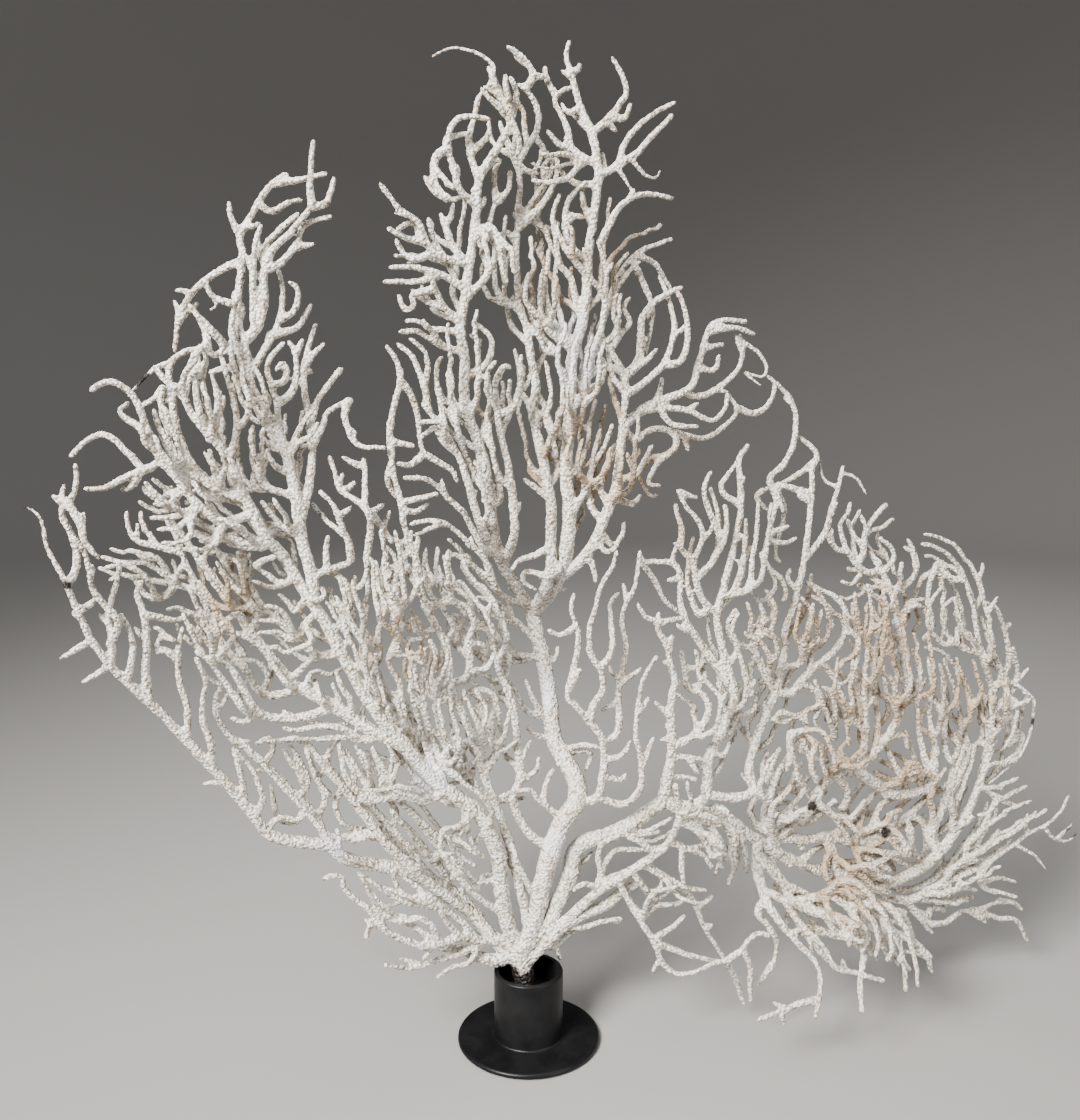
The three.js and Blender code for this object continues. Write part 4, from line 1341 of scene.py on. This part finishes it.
def crust_tree():
    """Raises the crust's grains and shallow lumps on a fused limb."""
    tree, enter, leave = new_tree("granular_crust", [
        ("Grain Size", "NodeSocketFloat", 0.0014),
        ("Grain Height", "NodeSocketFloat", 0.0005),
        ("Lump Height", "NodeSocketFloat", 0.0004),
        ("Material", "NodeSocketMaterial", None),
    ])
    where = node(tree, "GeometryNodeInputPosition")
    facing = node(tree, "GeometryNodeInputNormal")
    pitch = reckon(tree, "DIVIDE", 1.0, enter.outputs["Grain Size"])
    grains = node(tree, "ShaderNodeTexVoronoi", feature="SMOOTH_F1",
                  inputs={"Vector": where.outputs[0], "Scale": pitch, "Smoothness": 0.35})
    raised = reckon(tree, "SUBTRACT", GRAIN_LEVEL, grains.outputs["Distance"])
    grain = reckon(tree, "MULTIPLY", raised, enter.outputs["Grain Height"])
    lumps = node(tree, "ShaderNodeTexNoise",
                 inputs={"Vector": where.outputs[0], "Scale": 240.0, "Detail": 2.0})
    swing = reckon(tree, "SUBTRACT", lumps.outputs["Fac"], 0.5)
    lump = reckon(tree, "MULTIPLY_ADD", swing, enter.outputs["Lump Height"], grain)
    push = scaled(tree, facing.outputs[0], lump)
    moved = node(tree, "GeometryNodeSetPosition",
                 inputs={"Geometry": enter.outputs["Geometry"], "Offset": push})
    soft = node(tree, "GeometryNodeSetShadeSmooth", inputs={"Geometry": moved.outputs[0]})
    return finish_tree(tree, enter, leave, soft.outputs[0])


def plain_object(name, mesh):
    made = bpy.data.objects.new(name, mesh)
    bpy.context.scene.collection.objects.link(made)
    return made


# How slim the strands are under their grains, as shares of the solids' thickness.
TWIG_SLIMNESS = 0.77
LIMB_SLIMNESS = 0.79
STOUT_LIMBS = {"stem": 0.93, "centre_limb": 0.93, "left_limb": 0.78, "right_limb": 0.95,
               "right_sweep_limb": 0.92, "mast_limb": 0.88}
LIMB_GIRTH = 3.0
HOLDFAST_SLIMNESS = 0.68
HOLDFAST_NEAR_PX = 15.0
HOLDFAST_FADE_PX = 90.0
TIP_SLIMNESS = 0.8
TIP_LENGTH = 0.7
TIP_END = 0.55
# Where the crust is thicker: centre and half sizes in the front view, and how much thicker.
STOUT_PATCHES = [(850, 845, 150, 115, 1.3)]
PATCH_FADE = 2.0
# The cells in which a limb is fused, in metres, and the share of its skin's faces that is kept.
VOXEL = 0.0007
SKIN_SHARE = 0.5


def crust_share(px, py):
    """How much thicker the crust is here than elsewhere."""
    share = 1.0
    for x, y, w, h, most in STOUT_PATCHES:
        inside = 1.0 - ((px - x) / w) ** 2 - ((py - y) / h) ** 2
        share = max(share, mix(1.0, most, min(max(PATCH_FADE * inside, 0.0), 1.0)))
    return share


def slimness(strand, px, py):
    """A strand's share of its solid's thickness, which is least where the limbs part."""
    if strand.girth[0] < LIMB_GIRTH:
        return TWIG_SLIMNESS * crust_share(px, py)
    own = STOUT_LIMBS.get(strand.limb, LIMB_SLIMNESS)
    if strand.limb == "stem":
        return own
    apart = (span((px, py), HOLDFAST_PX) - HOLDFAST_NEAR_PX) / HOLDFAST_FADE_PX
    return mix(HOLDFAST_SLIMNESS, own, min(max(apart, 0.0), 1.0))


def fused_limb(name, strands, trees, material):
    """One limb with all its twigs: swept, fused into one skin and given its grains."""
    places, girths, edges = [], [], []
    for strand in strands:
        points = points_of(strand)
        whole = strand.along[-1]
        radius = [r * slimness(strand, *p) * mix(1.0, TIP_SLIMNESS, s / whole)
                  for r, p, s in zip(strand.radius, strand.route, strand.along)]
        tip = Vector(points[-1]) - Vector(points[-2])
        tip.normalize()
        points.append(tuple(Vector(points[-1]) + tip * radius[-1] * TIP_LENGTH))
        radius.append(radius[-1] * TIP_END)
        first = len(places)
        places += [tuple(v * MM for v in p) for p in points]
        girths += [r * MM for r in radius]
        edges += [(first + k, first + k + 1) for k in range(len(points) - 1)]
    mesh = bpy.data.meshes.new(name + "_lines")
    mesh.from_pydata(places, edges, [])
    mesh.attributes.new("girth", "FLOAT", "POINT").data.foreach_set("value", girths)
    lines = plain_object(name + "_lines", mesh)
    sweep = lines.modifiers.new("swept", "NODES")
    sweep.node_group = trees[0]
    set_inputs(sweep, trees[0], {"Material": material})
    fuse = lines.modifiers.new("fused", "REMESH")
    fuse.mode = "VOXEL"
    fuse.voxel_size = VOXEL
    grains = lines.modifiers.new("grains", "NODES")
    grains.node_group = trees[1]
    set_inputs(grains, trees[1], {"Material": material})
    thin = lines.modifiers.new("thinned", "DECIMATE")
    thin.ratio = SKIN_SHARE
    graph = bpy.context.evaluated_depsgraph_get()
    skin = bpy.data.meshes.new_from_object(lines.evaluated_get(graph))
    bpy.data.objects.remove(lines)
    skin.name = name
    made = plain_object(name, skin)
    if not skin.materials:
        skin.materials.append(material)
    return made


# Materials.

def new_material(name):
    """A new material, with its node tree and its shader."""
    made = bpy.data.materials.new(name)
    made.use_nodes = True
    tree = made.node_tree
    return made, tree, tree.nodes["Principled BSDF"]


def ramp(tree, value, stops):
    """A colour for a value, blended between stops."""
    made = tree.nodes.new("ShaderNodeValToRGB")
    tree.links.new(value, made.inputs[0])
    band = made.color_ramp
    while len(band.elements) < len(stops):
        band.elements.new(0.5)
    for element, (place, colour) in zip(band.elements, stops):
        element.position = place
        element.color = (*colour, 1.0)
    return made.outputs["Color"]


def blend(tree, fac, one, two, kind="MIX"):
    """Two colours mixed by a factor."""
    made = tree.nodes.new("ShaderNodeMix")
    made.data_type = "RGBA"
    made.blend_type = kind
    for socket, value in ((made.inputs[0], fac), (made.inputs[6], one), (made.inputs[7], two)):
        if isinstance(value, bpy.types.NodeSocket):
            tree.links.new(value, socket)
        else:
            socket.default_value = value if isinstance(value, float) else (*value, 1.0)
    return made.outputs[2]


def noise(tree, scale, detail, roughness=0.5):
    """A noise pattern that stays with the object."""
    place = node(tree, "ShaderNodeTexCoord").outputs["Object"]
    made = node(tree, "ShaderNodeTexNoise", inputs={
        "Vector": place, "Scale": scale, "Detail": detail, "Roughness": roughness})
    return made.outputs["Fac"]


def roughen(tree, shader, value, low, high):
    made = node(tree, "ShaderNodeMapRange", inputs={"Value": value, "To Min": low, "To Max": high})
    tree.links.new(made.outputs[0], shader.inputs["Roughness"])


def emboss(tree, shader, height, strength, distance):
    made = node(tree, "ShaderNodeBump", inputs={"Height": height, "Strength": strength, "Distance": distance})
    tree.links.new(made.outputs[0], shader.inputs["Normal"])


WHITE = (1.0, 1.0, 1.0)
CHALK = (0.76, 0.77, 0.78)
BLACK_AXIS = (0.016, 0.012, 0.01)


def crust_material():
    """Chalky off-white grains with painted shade in the sunk borders between them, over a tan that is partly
    real stain and partly painted shade between and behind strands, with the black horny axis where the crust
    is gone.
    """
    made, tree, shader = new_material("chalky_crust")
    place = node(tree, "ShaderNodeTexCoord").outputs["Object"]
    tone = node(tree, "ShaderNodeAttribute", attribute_name="crust_tone")
    # The tone's first channel is tan, partly real stain and partly painted shade; the second is chalk; the
    # third is the bare axis.
    parts = node(tree, "ShaderNodeSeparateColor", inputs={"Color": tone.outputs["Color"]})
    stain_and_shade, chalk, bare = parts.outputs[0], parts.outputs[1], parts.outputs[2]
    cloud = noise(tree, scale=45.0, detail=4.0, roughness=0.6)
    speckle = noise(tree, scale=620.0, detail=3.0, roughness=0.65)
    voronoi = node(tree, "ShaderNodeTexVoronoi", inputs={"Vector": place, "Scale": 760.0})
    grains = voronoi.outputs["Distance"]
    base = ramp(tree, cloud, [(0.3, (0.75, 0.70, 0.61)), (0.5, (0.83, 0.80, 0.735)),
                              (0.72, (0.89, 0.875, 0.84))])
    freckle = ramp(tree, speckle, [(0.36, (0.52, 0.46, 0.39)), (0.5, WHITE)])
    # Painted shade: the sunk borders between grains are darkened.
    pit_shade = ramp(tree, grains, [(0.4, WHITE), (0.8, (0.5, 0.45, 0.39))])
    colour = blend(tree, 1.0, base, freckle, "MULTIPLY")
    colour = blend(tree, 1.0, colour, pit_shade, "MULTIPLY")
    # Tan, partly real stain and partly painted shade between and behind strands.
    tan = ramp(tree, speckle, [(0.35, (0.26, 0.185, 0.115)), (0.6, (0.48, 0.37, 0.255))])
    colour = blend(tree, stain_and_shade, colour, tan)
    colour = blend(tree, chalk, colour, CHALK)
    colour = blend(tree, bare, colour, BLACK_AXIS)
    tree.links.new(colour, shader.inputs["Base Color"])
    shader.inputs["Specular IOR Level"].default_value = 0.25
    roughen(tree, shader, bare, low=0.93, high=0.45)
    height = reckon(tree, "SUBTRACT", speckle, grains)
    emboss(tree, shader, height, strength=0.9, distance=0.0012)
    return made


def stand_material():
    """Black satin paint with a fine orange-peel and a little dust."""
    made, tree, shader = new_material("black_satin_paint")
    dust = noise(tree, scale=90.0, detail=5.0, roughness=0.7)
    colour = ramp(tree, dust, [(0.4, (0.003, 0.003, 0.0035)), (0.75, (0.008, 0.0078, 0.008))])
    tree.links.new(colour, shader.inputs["Base Color"])
    shader.inputs["Specular IOR Level"].default_value = 0.2
    roughen(tree, shader, dust, low=0.3, high=0.5)
    peel = noise(tree, scale=900.0, detail=2.0)
    emboss(tree, shader, peel, strength=0.12, distance=0.0003)
    return made


def packing_material():
    """Dull black packing with fine cells."""
    made, tree, shader = new_material("dull_black_packing")
    cells = noise(tree, scale=700.0, detail=4.0)
    colour = ramp(tree, cells, [(0.35, (0.004, 0.004, 0.004)), (0.7, (0.013, 0.012, 0.012))])
    tree.links.new(colour, shader.inputs["Base Color"])
    shader.inputs["Roughness"].default_value = 0.95
    emboss(tree, shader, cells, strength=0.6, distance=0.0008)
    return made


# Places of the front view, as (x, y, reach) in pixels: where the crust is tan, partly real stain and partly
# painted shade between and behind strands; where it is chalky; and where it is gone.
STAINED_AND_SHADED = [(612, 470, 70), (600, 255, 55), (560, 270, 40), (705, 545, 50), (795, 620, 60), (880, 640, 75),
           (960, 690, 60), (905, 780, 55), (840, 870, 70), (690, 440, 45), (640, 640, 40), (535, 470, 35),
           (230, 600, 45), (400, 640, 40), (500, 100, 28), (505, 185, 28), (548, 280, 34), (585, 205, 20),
           (730, 530, 45), (870, 730, 90), (545, 520, 40), (605, 430, 60)]
CHALKY = [(574, 365, 26), (572, 330, 20), (547, 690, 22), (573, 575, 18), (560, 845, 18), (430, 775, 25),
          (330, 850, 20)]
BARED = [(23, 507, 6), (66, 584, 5), (1073, 832, 6), (1034, 722, 6), (812, 806, 6), (885, 832, 6),
         (596, 237, 4), (142, 380, 9)]
# How far each tone fills its reach, and how much the ripple frays its edge.
SOFT_FILL = 1.15
SOFT_FRAY = 0.3
BARE_FILL = 1.1
BARE_FRAY = 0.25
BARE_FADE = 0.3
# The tan of a spot is stronger on a strand with more painted shade, and such a strand is a little tan
# everywhere, as painted shade.
STAIN_AND_SHADE_LEAST = 0.26
STAIN_AND_SHADE_GAIN = 1.1
SHADE_EVERYWHERE = 0.2
CHALK_MOST = 0.7
# The stem is bare up to a ragged edge, which rises to either side, in millimetres.
BARE_STEM_HEIGHT = 33.0
BARE_STEM_SIDE = -3.0
BARE_STEM_RISE = 0.75
BARE_STEM_RISE_MOST = 5.0
BARE_STEM_FRAY = 1.5
BARE_STEM_FADE = 1.5
BARE_STEM_RADIUS = 14.0
SAMPLE_STEP = 2.0


# The ripple's waves, in radians per millimetre, and how far the first of them sways.
RIPPLE_X = 0.55
RIPPLE_Y = 0.6
RIPPLE_Z = 0.47
RIPPLE_SWAY = 2.0
RIPPLE_SWAY_Z = 0.31


def ripple_at(places):
    """A slow uneven wave through space, between -1 and 1."""
    x, y, z = places[:, 0], places[:, 1], places[:, 2]
    sway = RIPPLE_SWAY * np.sin(z * RIPPLE_SWAY_Z)
    return np.sin(x * RIPPLE_X + sway) * np.sin(z * RIPPLE_Z + y * RIPPLE_Y)


def shade_at(places, strands):
    """How much painted shade the nearest strand takes at each place."""
    samples = []
    for strand in strands:
        points = points_of(strand)
        for p, q in zip(points, points[1:]):
            n = max(1, int(math.dist(p, q) / SAMPLE_STEP))
            samples += [(Vector(p).lerp(Vector(q), k / n), strand.dull_shade) for k in range(n + 1)]
    nearest = kdtree.KDTree(len(samples))
    for k, (place, _) in enumerate(samples):
        nearest.insert(place, k)
    nearest.balance()
    return np.array([samples[nearest.find(place)[1]][1] for place in places])


def strongest(view, spots, amount_at):
    """The most that any of the spots gives, at each point of the front view."""
    most = np.zeros(len(view), dtype=np.float32)
    for x, y, reach in spots:
        away = np.hypot(view[:, 0] - x, view[:, 1] - y) / reach
        most = np.maximum(most, np.clip(amount_at(away), 0.0, 1.0)).astype(np.float32)
    return most


def tint(piece, strands):
    """Writes how tan (partly real stain, partly painted shade), chalky or bare the crust is at each point of
    a piece.
    """
    mesh = piece.data
    count = len(mesh.vertices)
    places = np.empty(count * 3, dtype=np.float32)
    mesh.vertices.foreach_get("co", places)
    places = places.reshape(-1, 3).astype(float) / MM
    view = to_view(places)
    dull_shade = shade_at(places, strands)
    ripple = ripple_at(places)
    tone = np.zeros((count, 4), dtype=np.float32)
    tone[:, 3] = 1.0
    tone[:, 0] = strongest(view, STAINED_AND_SHADED, lambda away: SOFT_FILL - away + SOFT_FRAY * ripple)
    tone[:, 1] = strongest(view, CHALKY, lambda away: SOFT_FILL - away + SOFT_FRAY * ripple)
    tone[:, 2] = strongest(view, BARED, lambda away: (BARE_FILL + BARE_FRAY * ripple - away) / BARE_FADE)
    # Tan grows with each strand's painted shade.
    tone[:, 0] = np.clip(tone[:, 0] * (STAIN_AND_SHADE_LEAST + STAIN_AND_SHADE_GAIN * dull_shade) + SHADE_EVERYWHERE * dull_shade, 0.0, 1.0)
    tone[:, 1] *= CHALK_MOST
    rise = np.minimum(BARE_STEM_RISE * np.abs(places[:, 0] - BARE_STEM_SIDE), BARE_STEM_RISE_MOST)
    edge = BARE_STEM_HEIGHT + rise + BARE_STEM_FRAY * ripple
    low = np.clip((edge - places[:, 2]) / BARE_STEM_FADE, 0.0, 1.0)
    middle = np.hypot(places[:, 0], places[:, 1]) < BARE_STEM_RADIUS
    tone[:, 2] = np.maximum(tone[:, 2], low * middle)
    layer = mesh.attributes.new("crust_tone", "FLOAT_COLOR", "POINT")
    layer.data.foreach_set("color", tone.ravel())


def arc(cx, cz, radius, start, end, steps=6):
    """Points of a half outline along an arc, between two angles in degrees."""
    turns = [math.radians(mix(start, end, k / steps)) for k in range(steps + 1)]
    return [(cx + radius * math.cos(turn), cz + radius * math.sin(turn)) for turn in turns]


# Edges between faces that meet at more than this angle stay sharp, in degrees.
SHARP_ANGLE = 40.0


def turned(name, profile, sides, material):
    """A closed turned piece from its half outline, which starts and ends on the axis."""
    places, faces = [], []
    rings = []
    turns = [2 * math.pi * k / sides for k in range(sides)]
    for r, z in profile:
        first = len(places)
        if r < 1e-6:
            rings.append([first])
            places.append((0.0, 0.0, z * MM))
        else:
            rings.append(list(range(first, first + sides)))
            places += [(r * MM * math.cos(turn), r * MM * math.sin(turn), z * MM) for turn in turns]
    for low, high in zip(rings, rings[1:]):
        for k in range(sides):
            n = (k + 1) % sides
            if len(low) == 1:
                faces.append((low[0], high[n], high[k]))
            elif len(high) == 1:
                faces.append((low[k], low[n], high[0]))
            else:
                faces.append((low[k], low[n], high[n], high[k]))
    mesh = bpy.data.meshes.new(name)
    mesh.from_pydata(places, [], faces)
    mesh.shade_smooth()
    mesh.set_sharp_from_angle(angle=math.radians(SHARP_ANGLE))
    mesh.materials.append(material)
    return plain_object(name, mesh)


# Roundings of the stand, in millimetres, and the width of the ring of faces round its tube.
FOOT_EDGE = 1.2
FOOT_FILLET = 1.0
RIM_OUTSIDE = 0.8
RIM_INSIDE = 0.5
TUBE_RING = 5.0
STAND_SIDES = 96


def make_stand():
    """The foot and its tube, turned in one piece."""
    profile = [(0, 0), (FOOT_RADIUS - FOOT_EDGE, 0)]
    profile += arc(FOOT_RADIUS - FOOT_EDGE, FOOT_EDGE, FOOT_EDGE, -90, 90, 10)
    profile += [(TUBE_RADIUS + TUBE_RING, FOOT_THICKNESS)]
    profile += arc(TUBE_RADIUS + FOOT_FILLET, FOOT_THICKNESS + FOOT_FILLET, FOOT_FILLET, 270, 180, 5)
    profile += arc(TUBE_RADIUS - RIM_OUTSIDE, TUBE_HEIGHT - RIM_OUTSIDE, RIM_OUTSIDE, 0, 90)
    profile += arc(TUBE_BORE_RADIUS + RIM_INSIDE, TUBE_HEIGHT - RIM_INSIDE, RIM_INSIDE, 90, 180)
    profile += [(TUBE_BORE_RADIUS, FOOT_THICKNESS), (0, FOOT_THICKNESS)]
    return turned("turned_stand", profile, STAND_SIDES, stand_material())


SENSOR_WIDTH = 36.0


def set_camera():
    """The camera of the front view."""
    lens = bpy.data.cameras.new("front_view")
    lens.sensor_fit = "HORIZONTAL"
    lens.sensor_width = SENSOR_WIDTH
    lens.lens = SENSOR_WIDTH * VIEW_FOCAL / VIEW_SIZE[0]
    lens.clip_start = 0.01
    made = plain_object("front_view", lens)
    made.location = [v * MM for v in VIEW_EYE]
    made.rotation_euler = (math.pi / 2 - VIEW_PITCH, 0.0, 0.0)
    bpy.context.scene.camera = made


def softbox(name, place, target, size, power, colour, spread=180.0):
    """A soft light: where it is and what it faces, in metres, its size, watts, colour and spread."""
    lamp = bpy.data.lights.new(name, "AREA")
    lamp.shape = "RECTANGLE"
    lamp.size, lamp.size_y = size
    lamp.energy = power
    lamp.color = colour
    lamp.spread = math.radians(spread)
    made = plain_object(name, lamp)
    made.location = place
    made.rotation_euler = (Vector(target) - Vector(place)).to_track_quat("-Z", "Y").to_euler()


# The floor turns up into a backdrop all round, in one wide sweep, in metres.
SWEEP_RADIUS = 1.7
SWEEP_BEND = 1.0
SWEEP_HEIGHT = 2.2
SWEEP_STEPS = 16
SWEEP_SIDES = 96
FLOOR_DROP = 0.0003
FLOOR_COLOUR = (0.27, 0.26, 0.245, 1.0)
SKY_COLOUR = (0.40, 0.40, 0.42, 1.0)
SKY_STRENGTH = 0.2


def set_studio():
    """A plain pale floor and backdrop under three soft lights."""
    material, _, shader = new_material("pale_floor")
    shader.inputs["Base Color"].default_value = FLOOR_COLOUR
    shader.inputs["Roughness"].default_value = 0.8
    sweep = [(SWEEP_RADIUS, 0.0)]
    for k in range(1, SWEEP_STEPS + 1):
        turn = math.radians(90.0) * k / SWEEP_STEPS
        sweep.append((SWEEP_RADIUS + SWEEP_BEND * math.sin(turn), SWEEP_BEND * (1.0 - math.cos(turn))))
    sweep.append((SWEEP_RADIUS + SWEEP_BEND, SWEEP_HEIGHT))
    turns = [2.0 * math.pi * k / SWEEP_SIDES for k in range(SWEEP_SIDES)]
    places = [(r * math.cos(turn), r * math.sin(turn), z) for r, z in sweep for turn in turns]
    faces = [tuple(range(SWEEP_SIDES))]
    for row in range(len(sweep) - 1):
        for k in range(SWEEP_SIDES):
            a, b = row * SWEEP_SIDES + k, row * SWEEP_SIDES + (k + 1) % SWEEP_SIDES
            faces.append((b, a, a + SWEEP_SIDES, b + SWEEP_SIDES))
    mesh = bpy.data.meshes.new("pale_floor")
    mesh.from_pydata(places, [], faces)
    mesh.shade_smooth()
    mesh.materials.append(material)
    floor = plain_object("pale_floor", mesh)
    floor.location.z = -FLOOR_DROP
    world = bpy.data.worlds.new("studio")
    world.use_nodes = True
    sky = world.node_tree.nodes["Background"]
    sky.inputs["Color"].default_value = SKY_COLOUR
    sky.inputs["Strength"].default_value = SKY_STRENGTH
    bpy.context.scene.world = world
    softbox("key", (-0.55, -0.75, 0.85), target=(0.02, 0.0, 0.24), size=(0.45, 0.45),
            power=12.5, colour=(1.0, 0.985, 0.96), spread=75.0)
    softbox("fill", (0.85, -0.7, 0.45), target=(0.05, 0.0, 0.22), size=(0.6, 0.6),
            power=1.5, colour=(0.95, 0.97, 1.0), spread=80.0)
    softbox("overhead", (0.0, 0.0, 2.6), target=(0.0, 0.0, 0.0), size=(2.4, 2.4),
            power=42.0, colour=WHITE)


set_camera()
set_studio()

strands = grow_drawn_strands()
strands += grow_small_twigs(strands)
trees = strand_tree(), crust_tree()
crust = crust_material()
for limb in LIMBS:
    own = [strand for strand in strands if strand.limb == limb]
    piece = fused_limb(limb + "_crust", own, trees, crust)
    tint(piece, own)
    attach(piece, "root")
    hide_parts(limb)

stand = make_stand()
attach(stand, "root")
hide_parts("stand")
packing = frame["nodes"]["packing"]
packing.data.materials.clear()
packing.data.materials.append(packing_material())
